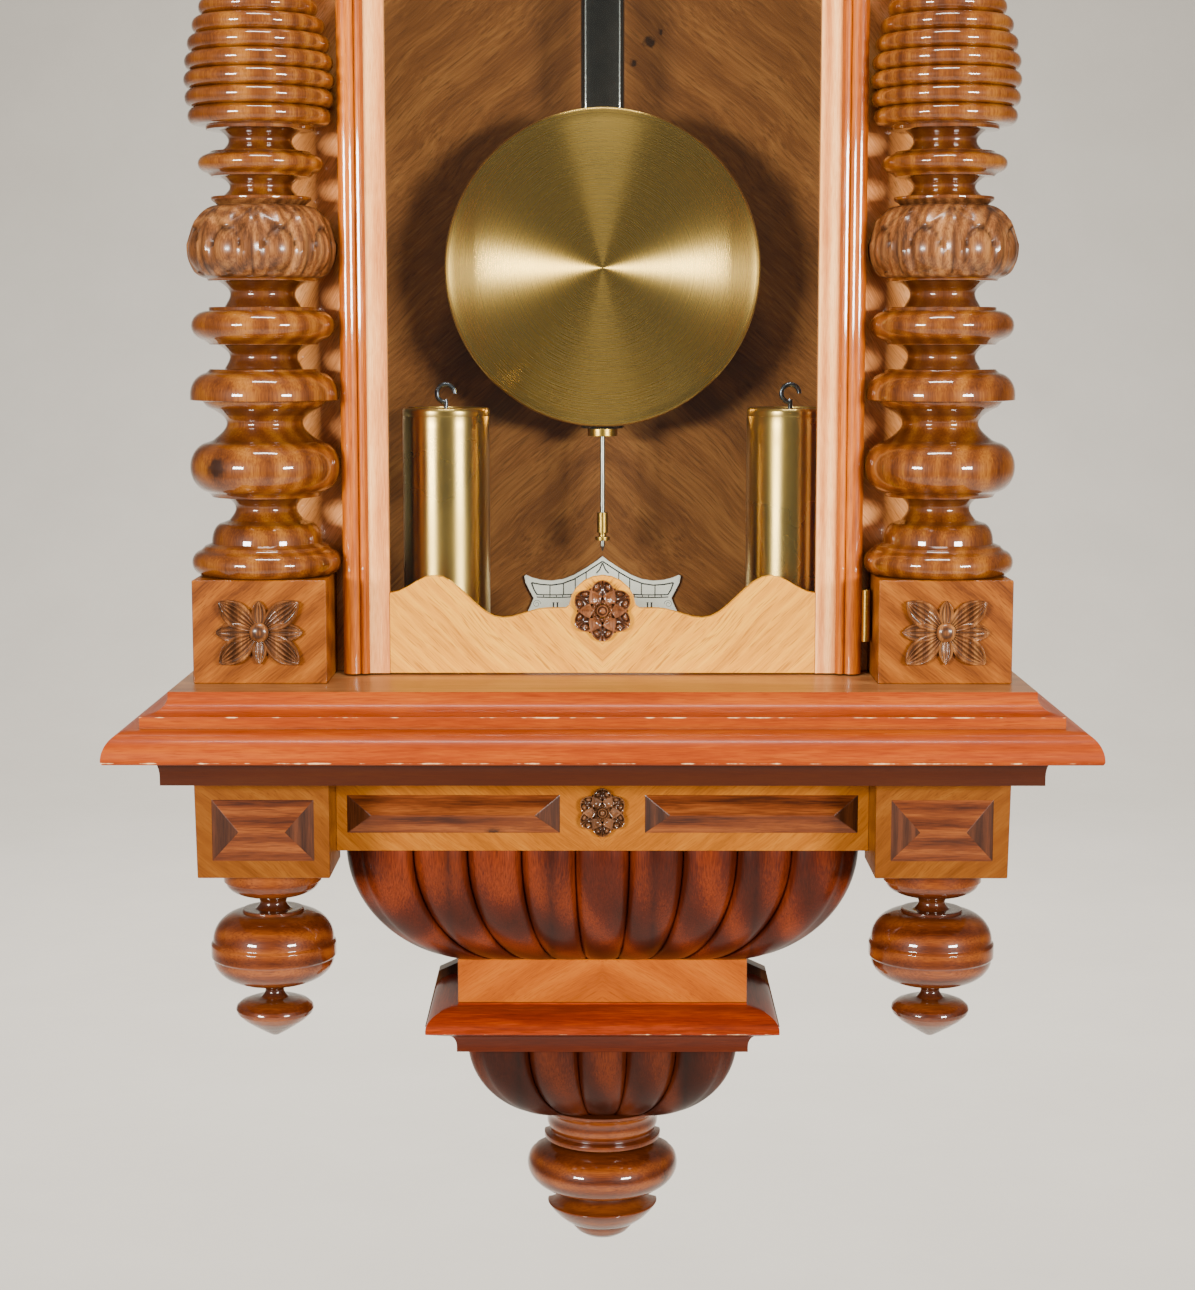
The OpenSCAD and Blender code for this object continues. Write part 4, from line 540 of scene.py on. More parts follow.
# %% Members of a turned outline, as (radius, height) pairs
def bead(z0, z1, r0, r1, n=12):
    return [(r0 + (r1 - r0) * sin(pi * i / n), z0 + (z1 - z0) * (1 - cos(pi * i / n)) / 2) for i in range(n + 1)]


def cove(z0, z1, ra, rn, rb, n=11):
    row = []
    for i in range(n + 1):
        t = i / n
        edge = ra + (rb - ra) * t
        row.append((edge - (edge - rn) * sin(pi * t), z0 + (z1 - z0) * t))
    return row


def swell(z0, z1, r0, r1, n=10):
    return [(r0 + (r1 - r0) * sin(pi / 2 * i / n), z0 + (z1 - z0) * (1 - cos(pi / 2 * i / n))) for i in range(n + 1)]


def taper(z0, z1, r0, r1, n=10):
    return [(r1 + (r0 - r1) * cos(pi / 2 * i / n), z0 + (z1 - z0) * sin(pi / 2 * i / n)) for i in range(n + 1)]


def fillet(z0, z1, r):
    return [(r, z0), (r, z1)]


def upside_down(points, top):
    return [(r, top - z) for r, z in reversed(points)]


def eased(points, size=0.35):
    # every corner sharper than 24 degrees becomes a small curve
    out = [points[0]]
    for before, here, after in zip(points, points[1:], points[2:]):
        a = Vector((before[0] - here[0], before[1] - here[1]))
        b = Vector((after[0] - here[0], after[1] - here[1]))
        if a.length < 1e-6 or b.length < 1e-6:
            continue
        if pi - a.angle(b, pi) < radians(24):
            out.append(here)
            continue
        d = min(size, a.length * 0.4, b.length * 0.4)
        start, end, corner = Vector(here) + a.normalized() * d, Vector(here) + b.normalized() * d, Vector(here)
        for t in (0, 0.33, 0.67, 1):
            p = start * (1 - t) ** 2 + corner * 2 * t * (1 - t) + end * t * t
            out.append((p[0], p[1]))
    return out + [points[-1]]


def spaced(points, gap):
    out = [points[0]]
    for a, b in zip(points, points[1:]):
        n = max(1, ceil(hypot(b[0] - a[0], b[1] - a[1]) / gap))
        out += [(a[0] + (b[0] - a[0]) * i / n, a[1] + (b[1] - a[1]) * i / n) for i in range(1, n + 1)]
    return out


def depth_of(points, reach=7.0, full=13.0):
    # how far a point lies in below its neighbours, so that painted shade, with some gathered polish, darkens the coves
    row = []
    for r, z in points:
        top = max(q for q, h in points if abs(h - z) < reach)
        row.append(min(1.0, max(0.0, (top - r - 2.5) / full)))
    return row


def lathe(name, points, x, y, z, materials, body, slot_name, nodes=(), steps=128, shape=None, angles=None,
          pick=None, smooth=40, gap=2.0, axis="Z"):
    # x, y and z place the outline's zero in millimetres; shape may change a radius by angle and height
    points = spaced(eased(points), gap)
    angles = angles or [2 * pi * i / steps for i in range(steps)]
    bm = bmesh.new()
    polish_and_shade = bm.verts.layers.float.new("polish_and_shade")
    rings = []
    for (r, h), dark in zip(points, depth_of(points)):
        ring = []
        for a in angles:
            q, more = (r, 0.0) if shape is None else shape(r, a, h)
            across, along = (q * sin(a), h) if axis == "Z" else (-h, q * sin(a))
            v = bm.verts.new(at(x + q * cos(a), y + across, z + along))
            # coves and carved cuts are darkened with painted shade, with some gathered polish
            v[polish_and_shade] = min(1.0, dark * 0.75 + more)
            ring.append(v)
        rings.append(ring)
    faces = ringed(bm, rings)
    if pick:
        for k, face in enumerate(faces):
            face.material_index = pick(points[k // len(angles)][1])
    capped(bm, rings)
    bmesh.ops.recalc_face_normals(bm, faces=bm.faces)
    return grown(name, bm, materials, body, slot_name, nodes, smooth)


FOOT_H = 133.2
foot = (bead(0, 12.8, 31.3, col_r) + fillet(12.8, 14.4, 31.3) + taper(16, 26.1, 27.5, 21.9)
        + cove(27.5, 39.2, 18.5, 15.3, 20) + fillet(39.2, 41.4, 27) + bead(41.4, 66.6, 27, col_r, 22)
        + cove(66.6, 85, 27, 19, 30.6, 20) + fillet(85, 86.9, 30.6) + fillet(87.4, 89.8, col_r - 0.6)
        + taper(90, 101.1, col_r - 0.6, 27.2) + fillet(101.1, 102.7, 27.2) + cove(102.7, 114.8, 19.5, 16.8, 23)
        + fillet(114.8, 116.6, 27) + bead(116.6, 131.6, 27, col_r - 1.8) + fillet(131.6, FOOT_H, 26.8))
print("the foot of a column has", len(foot), "points")

# %% [markdown]
# The middle of the column: an acanthus bulb carved with eight leaves, two rings, then the
# ribbed barrel, which is eight beads whose size follows a soft curve, and the tapered shaft.

# %% The column's body, barrel and shaft
BARREL_Z, RIB, RIBS = 273.2 - block_h, 8.7, 8


def barrel_r(z):
    return col_r - 0.5 - 0.0062 * (z - BARREL_Z - 20.8) ** 2


b0 = FOOT_H
body = (cove(b0, b0 + 12.8, 19, 16.1, 22) + fillet(b0 + 12.8, b0 + 14.3, 27)
        + swell(b0 + 14.3, b0 + 27.3, 27, col_r - 0.2, 16) + taper(b0 + 28, b0 + 49.8, col_r - 0.2, 21.3, 24)
        + fillet(b0 + 52.5, b0 + 53.9, 24.7) + cove(b0 + 53.9, b0 + 63.7, 19.5, 15.3, 20)
        + fillet(b0 + 63.7, b0 + 65.3, 24.5) + bead(b0 + 65.3, b0 + 74.8, 24.5, 30.8)
        + fillet(b0 + 74.8, b0 + 75.9, 24.5) + cove(b0 + 75.9, BARREL_Z - 2.2, 19.5, 15.6, 20)
        + fillet(BARREL_Z - 2.2, BARREL_Z - 0.5, 26.5))
ribs = []
for i in range(RIBS):
    rib_z = BARREL_Z + RIB * i
    ribs += bead(rib_z, rib_z + RIB, barrel_r(rib_z + RIB / 2) - 4, barrel_r(rib_z + RIB / 2), 10)
r0 = BARREL_Z + RIB * RIBS
shaft_z0, COL_H = r0 + 27, open_h - 2 * block_h
shaft_z1 = COL_H - FOOT_H - 24
shaft = fillet(r0 + 0.3, r0 + 2, 20) + cove(r0 + 2, r0 + 14, 17, 14.5, 18) + fillet(r0 + 14, r0 + 16.5, 25)
shaft += bead(r0 + 16.5, r0 + 25, 25, 30) + fillet(r0 + 25, shaft_z0, 24.5)
shaft += [(23 - 3.5 * t + 1.6 * sin(pi * t), shaft_z0 + 0.5 + (shaft_z1 - shaft_z0 - 1) * t)
          for t in (i / 24 for i in range(25))]
shaft += (fillet(shaft_z1, shaft_z1 + 1.8, 23.5) + bead(shaft_z1 + 1.8, shaft_z1 + 10, 23.5, 28.5)
          + fillet(shaft_z1 + 10, shaft_z1 + 11.5, 23.5) + cove(shaft_z1 + 11.5, shaft_z1 + 24, 18, 14.5, 19))
outline = foot + body + ribs + shaft + upside_down(foot, COL_H)
LEAF_Z0, LEAF_Z1, LEAVES = b0 + 14.8, b0 + 49.8, 8


def hump(away, width):
    return 2.718 ** (-(away / width) ** 2)


def acanthus(a, h):
    # how far the bulb is cut back at an angle and height, and how much painted shade darkens that place:
    # eight tall spears with raised edges, a hollow beside each, and between them a domed eye under a brow
    if not LEAF_Z0 < h < LEAF_Z1:
        return 0.0, 0.0
    t = (h - LEAF_Z0) / (LEAF_Z1 - LEAF_Z0)
    off = abs((LEAVES * a / (2 * pi) + 0.5) % 1 * 2 - 1)
    spear = 0.36 * (1 - t) ** 0.8 + 0.02
    if off < spear:
        cut, dark = 0.9 * (1 - (off / spear) ** 2), 0.9 * max(0.0, 1 - off / 0.05) * (1 - t) + 0.1
    else:
        side = (off - spear) / (1 - spear)
        away = hypot((1 - off) / 0.52, (t - 0.36) / 0.3)
        cut, dark = 0.2 + 1.7 * sin(pi * min(1.0, side * 1.1)) ** 0.7, 0.45 * max(0.0, 1 - side / 0.14)
        if away < 1:
            cut, dark = 0.35 + 1.45 * away ** 2, 0.35 * away ** 4 + 0.3 * max(0.0, 1 - abs(off - 0.8) / 0.04)
        brow = hump(away - 1.06, 0.08) if t > 0.4 else 0.0
        strap = t - 0.97 + (off - 0.12) * 0.36
        cut += brow - 0.9 * hump(strap, 0.03)
        dark += 0.9 * brow + 0.6 * hump(strap + 0.055, 0.03)
        dark += 0.55 * max(0.0, 1 - t / 0.28) * (0.5 + 0.5 * cos(46 * off))
    fade = min(1.0, t / 0.05, (1 - t) / 0.06)
    return max(0.0, cut) * fade, min(1.0, dark) * fade


# how far the case's corner reaches towards the column's axis, sideways and forward
CORNER_OUT, CORNER_BACK = 2.7, 15.7


def column(side, node):
    def shape(r, a, h):
        c, s = cos(a) * side, sin(a)
        cut, dark = acanthus(a, h)
        r -= cut
        if c < 0 < s:
            r = min(r, max(CORNER_OUT / max(-c, 1e-6), CORNER_BACK / max(s, 1e-6)))
        return r, dark
    corner = atan2(CORNER_BACK, -CORNER_OUT * side)
    angles = sorted({round(2 * pi * i / 136, 6) for i in range(136)} | {round(corner, 6)})
    return lathe(node + "_turned", outline, side * col_x, -col_y, block_h, [turned_walnut, carved_walnut], "case",
                 "polished_walnut", [node], angles=angles, shape=shape, gap=6,
                 pick=lambda h: 1 if LEAF_Z0 - 1 < h < LEAF_Z1 + 1 else 0)


columns = [column(-1, "column_left"), column(1, "column_right")]
print("one column:", len(columns[0].data.polygons), "faces")

# %% [markdown]
# The pendants under the corners and the urns on top come off the same lathe.

# %% Pendants and urns
drop = [(0.4, -90), (2.2, -89.4), (6.4, -87.0), (11.6, -83.8), (16.2, -80.6), (19.2, -77.6), (20, -75.4),
        (19.4, -73.6), (17.2, -71.8), (13.2, -70.4), (9.4, -69.9)]
pendant = (drop + cove(-69.5, -62, 7, 4.8, 8) + swell(-61, -48, 13, 31) + fillet(-47.1, -40.5, 32)
           + taper(-39, -24.1, 31, 15.7) + fillet(-24, -22.8, 15.7) + cove(-22.8, -15.5, 9, 6.8, 9)
           + swell(-15, -8, 12, 24) + fillet(-8, 0, 25))
urn = (fillet(0, 3, 20) + cove(3, 12, 14, 8, 13) + fillet(12, 14, 18) + swell(14, 30, 16, 24) + fillet(30.5, 35, 25)
       + taper(36, 50, 23, 12) + fillet(50, 52, 13) + cove(52, 57, 7, 5, 7) + bead(57, 76, 4, 10) + [(0.8, 80)])
PAD_HALF, PAD_H = 27, 14


def joined(name, objects, node):
    # several turned pieces that are one node become one mesh
    bm = bmesh.new()
    for piece in objects:
        bm.from_mesh(piece.data)
    mesh = mesh_from(name, bm)
    for material in objects[0].data.materials:
        mesh.materials.append(material)
    mesh.set_sharp_from_angle(angle=radians(40))
    made = placed_in_scene(name, mesh)
    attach(made, BODY[node])
    for piece in objects:
        bpy.data.objects.remove(piece)
    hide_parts(node)
    return made


def square_pad(name, x, y, z0, z1):
    bm = bmesh.new()
    bmesh.ops.create_cube(bm, size=1)
    low, high = at(x - PAD_HALF, -y - PAD_HALF, z0), at(x + PAD_HALF, PAD_HALF - y, z1)
    for v in bm.verts:
        v.co = Vector([(low[k] + high[k]) / 2 + v.co[k] * (high[k] - low[k]) for k in range(3)])
    return grown(name, rounded(bm, 1.0, segments=3), [finial_walnut], "case", "dark_polished")


turnings = []
for side in (-1, 1):
    for name, points, z in (("pendant_turned", pendant, CORNER_Z0), ("urn_turned", urn, CORNICE_Z1 + PAD_H)):
        turnings.append(lathe(name, points, side * col_x, -col_y, z, [finial_walnut], "case", "dark_polished"))
    turnings.append(square_pad("urn_pad", side * col_x, col_y, CORNICE_Z1, CORNICE_Z1 + PAD_H))
corner_finials = joined("corner_finials_turned", turnings, "corner_finials")
print("corner finials:", len(corner_finials.data.polygons), "faces")

# %% [markdown]
# The shelf and the cornice are one moulding run round three sides and mitred at the corners, as
# a spindle moulder would cut it. The outline goes down from the top edge: a small flat, a hollow,
# a step, a quarter round and a cove above the foot. Sweeping the outline as a grid gives room for
# marks: polish is rubbed through on the edges, and the cove and the step carry painted shade,
# with some polish gathered there too.


# %% Mitred mouldings
def moulding(name, profile, hw, depth, z_top, materials, node, wear, dark, flip=1, wall=0.4):
    # profile is (out, down) in millimetres; stations run from the wall round the front to the wall;
    # wear says how rubbed a place on the profile is, and dark how much painted shade it carries
    row = spaced(profile, 1.6)
    bm = bmesh.new()
    polish_and_shade = bm.verts.layers.float.new("polish_and_shade")
    worn = bm.verts.layers.float.new("wear")
    side_n, front_n = 26, 70
    sections = []
    stations = ([("L", i / side_n) for i in range(side_n + 1)] + [("F", i / front_n) for i in range(1, front_n)]
                + [("R", 1 - i / side_n) for i in range(side_n + 1)])
    for where, t in stations:
        made = []
        for out, down in row:
            if where == "F":
                x, y = (hw + out) * (2 * t - 1), -(depth + out)
            else:
                x, y = (-1 if where == "L" else 1) * (hw + out), -(wall + (depth + out - wall) * t)
            v = bm.verts.new(at(x, y, z_top + flip * down))
            v[polish_and_shade] = dark(out, down)
            v[worn] = wear(out, down)
            made.append(v)
        sections.append(made)
    ringed(bm, sections, around=False)
    top = bm.faces.new([section[0] for section in sections])
    bottom = bm.faces.new([section[-1] for section in reversed(sections)])
    back = bm.faces.new(list(reversed(sections[0])) + sections[-1])
    bmesh.ops.recalc_face_normals(bm, faces=bm.faces)
    for face in bm.faces:
        n = face.normal
        face.material_index = 2 if face is top else (1 if abs(n.x) > abs(n.y) + 0.01 else 0)
    print(name, len(bm.faces), "faces, back", len(back.verts), "corners, foot", len(bottom.verts), "corners")
    return grown(name, bm, materials, BODY[node], SLOT[node], [node], 32)


# how far out the step, the quarter round and the foot reach, and where the cove begins and how deep it is
STEP, OVOLO, FOOT, COVE_TOP, COVE_DROP = 11.8, 27.8, 4.0, 31.2, 9.8


def quarter(n, first=0):
    # sine and cosine at n equal steps of a quarter turn
    return [(sin(pi / 2 * i / n), cos(pi / 2 * i / n)) for i in range(first, n + 1)]


shelf_outline = eased(
    [(0, 0), (0, -2.4)] + [(STEP * (1 - c), -2.4 - 8.1 * s) for s, c in quarter(12, 1)] + [(STEP, -16.2)]
    + [(STEP + 4.4 + (OVOLO - STEP - 4.4) * s, -29.8 + 13.6 * c) for s, c in quarter(14)]
    + [(OVOLO - 0.8, -COVE_TOP)]
    + [(FOOT + 5 * (1 - s), -COVE_TOP - COVE_DROP * (1 - c)) for s, c in quarter(8)]
    + [(FOOT, -shelf_h)], 0.5)


def shelf_wear(out, down):
    # the top edge, the step's edge and the lowest part of the quarter round are rubbed bare in places
    near = max(0.0, 1 - abs(down + 0.6)) + max(0.0, 1 - hypot(out - STEP, down + 10.6) / 1.3) * 0.9
    return min(1.0, near + max(0.0, 1 - hypot(out - OVOLO, down + 30.4) / 1.6))


def shelf_painted_shade(out, down):
    # painted shade: the cove under the quarter round and the inner corner of the step
    under = max(0.0, min(1.0, (-down - COVE_TOP) / 1.2)) * (1 if out < OVOLO - 2 else 0)
    return max(0.92 * under, 0.5 * max(0.0, 1 - hypot(out - STEP, down + 16.4) / 2.0))


SHELF_HW, SHELF_Y = 210.1, 193.1
shelf_set = [shelf_walnut, shelf_walnut_side, shelf_top_walnut]
moulding("shelf_moulded", shelf_outline, SHELF_HW, SHELF_Y, 0, shelf_set, "shelf", shelf_wear, shelf_painted_shade)
moulding("cornice_moulded", shelf_outline, SHELF_HW, SHELF_Y, open_h + corner_h + 0.05, shelf_set, "top_cornice",
         shelf_wear, shelf_painted_shade, flip=-1)

# %% [markdown]
# The two bowls are carved from solid blocks into convex lobes, the work called gadrooning. That
# is a rule rather than a drawing: nine lobes on the front, five on each side, each a half round
# whose depth shrinks as the bowl narrows. Geometry Nodes says it once: a flat grid is bent along
# the plan and down the outline, and the small bowl is the same tree with other numbers.


# %% A tree with named inputs, and its evaluation
def tree_with(name, inputs):
    tree = bpy.data.node_groups.new(name, "GeometryNodeTree")
    tree.interface.new_socket("Geometry", in_out="INPUT", socket_type="NodeSocketGeometry")
    tree.interface.new_socket("Geometry", in_out="OUTPUT", socket_type="NodeSocketGeometry")
    for label, kind, value in inputs:
        socket = tree.interface.new_socket(label, in_out="INPUT", socket_type="NodeSocket" + kind)
        if kind != "Material":
            socket.default_value = value
    return tree, add(tree, "NodeGroupInput").outputs, add(tree, "NodeGroupOutput").inputs


def grow(tree, values, mesh=None):
    # puts the tree on an object, fills its named inputs, and hands back the evaluated mesh
    holder = placed_in_scene(tree.name, mesh or bpy.data.meshes.new(tree.name))
    step = holder.modifiers.new(tree.name, "NODES")
    step.node_group = tree
    for item in tree.interface.items_tree:
        if item.in_out == "INPUT" and item.name in values:
            step[item.identifier] = values[item.name]
    holder.update_tag()
    graph = bpy.context.evaluated_depsgraph_get()
    made = bpy.data.meshes.new_from_object(holder.evaluated_get(graph), depsgraph=graph)
    holder.modifiers.remove(step)
    bpy.data.objects.remove(holder)
    return made


def maths(tree):
    def step(kind, *values, clamp=False):
        return add(tree, "ShaderNodeMath", dict(enumerate(values)), operation=kind, use_clamp=clamp).outputs[0]
    return step


bowl_tree, given, result = tree_with("lobed_bowl_rule", [
    ("Front lobes", "Int", 9), ("Side lobes", "Int", 5), ("Upper half width", "Float", 0.133),
    ("Lower half width", "Float", 0.078), ("Height", "Float", 0.07), ("Fullness", "Float", 0.7),
    ("Upper groove", "Float", 0.008), ("Lower groove", "Float", 0.0045), ("Added depth", "Float", 0.002),
    ("Wood", "Material", None)])
m = maths(bowl_tree)
lobes = m("MULTIPLY_ADD", given["Side lobes"], 2.0, given["Front lobes"])
grid = add(bowl_tree, "GeometryNodeMeshGrid", {
    "Size X": 1.0, "Size Y": 1.0, "Vertices X": m("MULTIPLY_ADD", lobes, 14.0, 1.0), "Vertices Y": 42})
parts = add(bowl_tree, "ShaderNodeSeparateXYZ", {0: add(bowl_tree, "GeometryNodeInputPosition").outputs[0]})
place = m("MULTIPLY", m("ADD", parts.outputs["X"], 0.5), lobes)
drop = m("SINE", m("MULTIPLY", m("ADD", parts.outputs["Y"], 0.5), pi / 2))
swelling = m("POWER", m("MAXIMUM", m("SUBTRACT", 1.0, m("MULTIPLY", drop, drop)), 0.0), given["Fullness"])


def narrowing(what):
    # from the upper number to the lower one, as the bowl's outline goes
    upper, lower = given["Upper " + what], given["Lower " + what]
    return m("MULTIPLY_ADD", m("SUBTRACT", upper, lower), swelling, lower)


half = narrowing("half width")
groove = narrowing("groove")
across = m("MULTIPLY_ADD", m("FRACT", m("ADD", place, 0.00001)), 2.0, -1.0)
crown = m("SQRT", m("MAXIMUM", m("SUBTRACT", 1.0, m("MULTIPLY", across, across)), 0.0))
bulge = m("MULTIPLY", groove, crown)
corner_2 = m("ADD", given["Side lobes"], given["Front lobes"])
on_left = m("LESS_THAN", place, m("SUBTRACT", given["Side lobes"], 0.001))
on_right = m("GREATER_THAN", place, m("ADD", corner_2, 0.001))
on_front = m("SUBTRACT", m("SUBTRACT", 1.0, on_left), on_right)
t_left = m("DIVIDE", place, given["Side lobes"], clamp=True)
t_front = m("DIVIDE", m("SUBTRACT", place, given["Side lobes"]), given["Front lobes"], clamp=True)
t_right = m("DIVIDE", m("SUBTRACT", place, corner_2), given["Side lobes"], clamp=True)
flat_half = m("SUBTRACT", half, groove)
new_x = m("ADD", m("MULTIPLY", flat_half, m("MULTIPLY_ADD", t_front, 2.0, -1.0)),
          m("MULTIPLY", bulge, m("SUBTRACT", on_right, on_left)))
new_y = m("SUBTRACT", m("MULTIPLY", m("ADD", flat_half, given["Added depth"]), m("SUBTRACT", t_right, t_left)),
          m("MULTIPLY", bulge, on_front))
new_z = m("MULTIPLY", m("MULTIPLY", drop, given["Height"]), -1.0)
bent = add(bowl_tree, "GeometryNodeSetPosition", {
    "Geometry": grid.outputs["Mesh"],
    "Position": add(bowl_tree, "ShaderNodeCombineXYZ", {0: new_x, 1: new_y, 2: new_z}).outputs[0]})
# painted shade between the lobes: the grooves are stored darkest, the crowns of the lobes not at all
kept = add(bowl_tree, "GeometryNodeStoreNamedAttribute", {
    "Geometry": bent.outputs[0], "Name": "polish_and_shade", "Value": m("POWER", m("SUBTRACT", 1.0, crown), 1.6)},
    domain="POINT", data_type="FLOAT")
kept = add(bowl_tree, "GeometryNodeSetMaterial", {0: kept.outputs[0], "Material": given["Wood"]})
bowl_tree.links.new(add(bowl_tree, "GeometryNodeRealizeInstances", {0: kept.outputs[0]}).outputs[0], result[0])


def carved_bowl(name, z_top, wood_used, **numbers):
    # numbers are the tree's inputs in small letters
    values = {key.replace("_", " ").capitalize(): number for key, number in numbers.items()}
    mesh = grow(bowl_tree, {**values, "Wood": wood_used})
    bm = bmesh.new()
    bm.from_mesh(mesh)
    bm.transform(Matrix.Translation(at(0, -0.4, z_top)))
    # closed above, below and towards the wall
    edge = [v for v in bm.verts if v.is_boundary]
    top_z, low_z, wall_y = max(v.co.z for v in edge), min(v.co.z for v in edge), max(v.co.y for v in edge)
    for level in (top_z, low_z):
        rim = [v for v in edge if abs(v.co.z - level) < 1e-5]
        bm.faces.new(sorted(rim, key=lambda v: atan2(v.co.y + 0.05, v.co.x)))
    at_wall = [v for v in edge if abs(v.co.y - wall_y) < 1e-5]
    left = sorted((v for v in at_wall if v.co.x < 0), key=lambda v: -v.co.z)
    right = sorted((v for v in at_wall if v.co.x > 0), key=lambda v: v.co.z)
    bm.faces.new(left + right)
    bmesh.ops.recalc_face_normals(bm, faces=bm.faces)
    print(name, len(bm.faces), "faces")
    return bm


gadroon = carved_bowl("gadroon_bowl", LOWER_Z0 - 0.05, bowl_walnut, front_lobes=9, side_lobes=5,
                      upper_half_width=0.133, lower_half_width=0.0778, height=0.0712, fullness=0.7,
                      upper_groove=0.008, lower_groove=0.0045, added_depth=0.0016)
grown("gadroon_bowl_carved", gadroon, [bowl_walnut], "case", SLOT["gadroon_bowl"], ["gadroon_bowl"], 50)
SMALL = dict(front_lobes=5, side_lobes=3, upper_half_width=0.074, lower_half_width=0.033, height=0.0509,
             fullness=0.68, upper_groove=0.007, lower_groove=0.003, added_depth=-0.0018)
lesser = carved_bowl("small_bowl", SMALL_Z1 - 0.05, small_bowl_walnut_painted_shade, **SMALL)
upper = carved_bowl("crest_bowl", 0, small_bowl_walnut_painted_shade, **SMALL)
# the one on top of the cornice is the same carving turned over
for v in upper.verts:
    v.co = Vector((v.co.x, v.co.y - 0.022, at(0, 0, CORNICE_Z1 + 16.05).z + at(0, 0, 0).z - v.co.z))
bmesh.ops.reverse_faces(upper, faces=upper.faces)
lesser.from_mesh(mesh_from("crest_bowl", upper))
grown("small_bowls_carved", lesser, [small_bowl_walnut_painted_shade], "case", SLOT["small_bowls"], ["small_bowls"], 50)

small_outline = eased(
    [(0, 0)] + [(16.7 * s, -11 + 10 * c) for s, c in quarter(14)]
    + [(16.7, -13)] + [(6 * (1 - s) + 0.8, -24 + 7.5 * c) for s, c in quarter(10)]
    + [(0.8, -27)], 0.4)
# the cove under the small moulding's round is darkened with painted shade
moulding("small_moulding_cut", small_outline, 77.8, 78.8, PLINTH_Z0 - 0.05,
         [moulding_walnut, moulding_walnut_side, moulding_walnut], "small_moulding",
         lambda out, down: 0.8 * max(0.0, 1 - hypot(out - 16.7, down + 12.8) / 1.2),
         lambda out, down: 0.75 * min(1.0, max(0.0, (-down - 13.2) / 1.2)), wall=12.05)

# %% [markdown]
# Carved flowers. A leaf is a small almond with a raised, smooth rim, long cuts inside it and a
# tip that lifts. One tree sets any number of such leaves round a centre, so the block flowers
# (four long leaves on the diagonals, four short ones between) and the round rosettes (six cupped
# petals, six leaves between them, a ring of twelve seeds) are only different numbers.

# %% A rule for a ring of leaves
ring_tree, given, result = tree_with("ring_of_leaves", [
    ("Count", "Int", 5), ("First angle", "Float", 90.0), ("Squash", "Float", 1.0), ("Other size", "Float", 1.0),
    ("Radius", "Float", 0.0), ("Wood", "Material", None)])
m = maths(ring_tree)
number = add(ring_tree, "GeometryNodeInputIndex").outputs[0]
spokes = add(ring_tree, "GeometryNodePoints", {"Count": given["Count"]})
raw = m("ADD", m("DIVIDE", m("MULTIPLY", number, 2 * pi), given["Count"]), m("RADIANS", given["First angle"]))
turn = m("ARCTAN2", m("MULTIPLY", m("SINE", raw), given["Squash"]), m("COSINE", raw))
spread_out = add(ring_tree, "GeometryNodeSetPosition", {"Geometry": spokes.outputs[0], "Position": add(
    ring_tree, "ShaderNodeCombineXYZ", {0: m("MULTIPLY", m("COSINE", turn), given["Radius"]),
                                        1: m("MULTIPLY", m("SINE", turn), given["Radius"])}).outputs[0]})
odd = m("MODULO", number, 2.0)
size = m("MULTIPLY_ADD", odd, m("SUBTRACT", given["Other size"], 1.0), 1.0)
placed = add(ring_tree, "GeometryNodeInstanceOnPoints", {
    "Points": spread_out.outputs[0], "Instance": given["Geometry"],
    "Rotation": add(ring_tree, "ShaderNodeCombineXYZ", {2: turn}).outputs[0],
    "Scale": add(ring_tree, "ShaderNodeCombineXYZ", {0: size, 1: size, 2: 1.0}).outputs[0]})
real = add(ring_tree, "GeometryNodeRealizeInstances", {0: placed.outputs[0]})
painted = add(ring_tree, "GeometryNodeSetMaterial", {0: real.outputs[0], "Material": given["Wood"]})
ring_tree.links.new(painted.outputs[0], result[0])


def sculpted(length, start, rise, width_at, height_at, steps=26, across=22):
    # a pad from start to length along +X; width_at(t) and height_at(t, s) shape it, where t runs
    # along it and s across from -1 to 1; its rim goes down to zero
    bm = bmesh.new()
    polish_and_shade = bm.verts.layers.float.new("polish_and_shade")
    rows = []
    for i in range(steps + 1):
        t = i / steps
        row = []
        for j in range(-1, across + 2):
            s = max(-1.0, min(1.0, 2 * j / across - 1))
            high, dark = height_at(t, s)
            skirt = j in (-1, across + 1)
            tall = 0 if skirt else rise * high
            v = bm.verts.new(((start + (length - start) * t) / 1000, width_at(t) * s / 1000, tall / 1000))
            # the skirt where the carving meets its ground and the cuts carry painted shade
            v[polish_and_shade] = 0.9 if skirt else min(1.0, dark)
            row.append(v)
        rows.append(row)
    for a, b in zip(rows, rows[1:]):
        for j in range(len(a) - 1):
            bm.faces.new((a[j], b[j], b[j + 1], a[j + 1]))
    bm.faces.new(rows[0])
    bm.faces.new(list(reversed(rows[-1])))
    bm.normal_update()
    smoothed(bm)
    return mesh_from("leaf", bm)


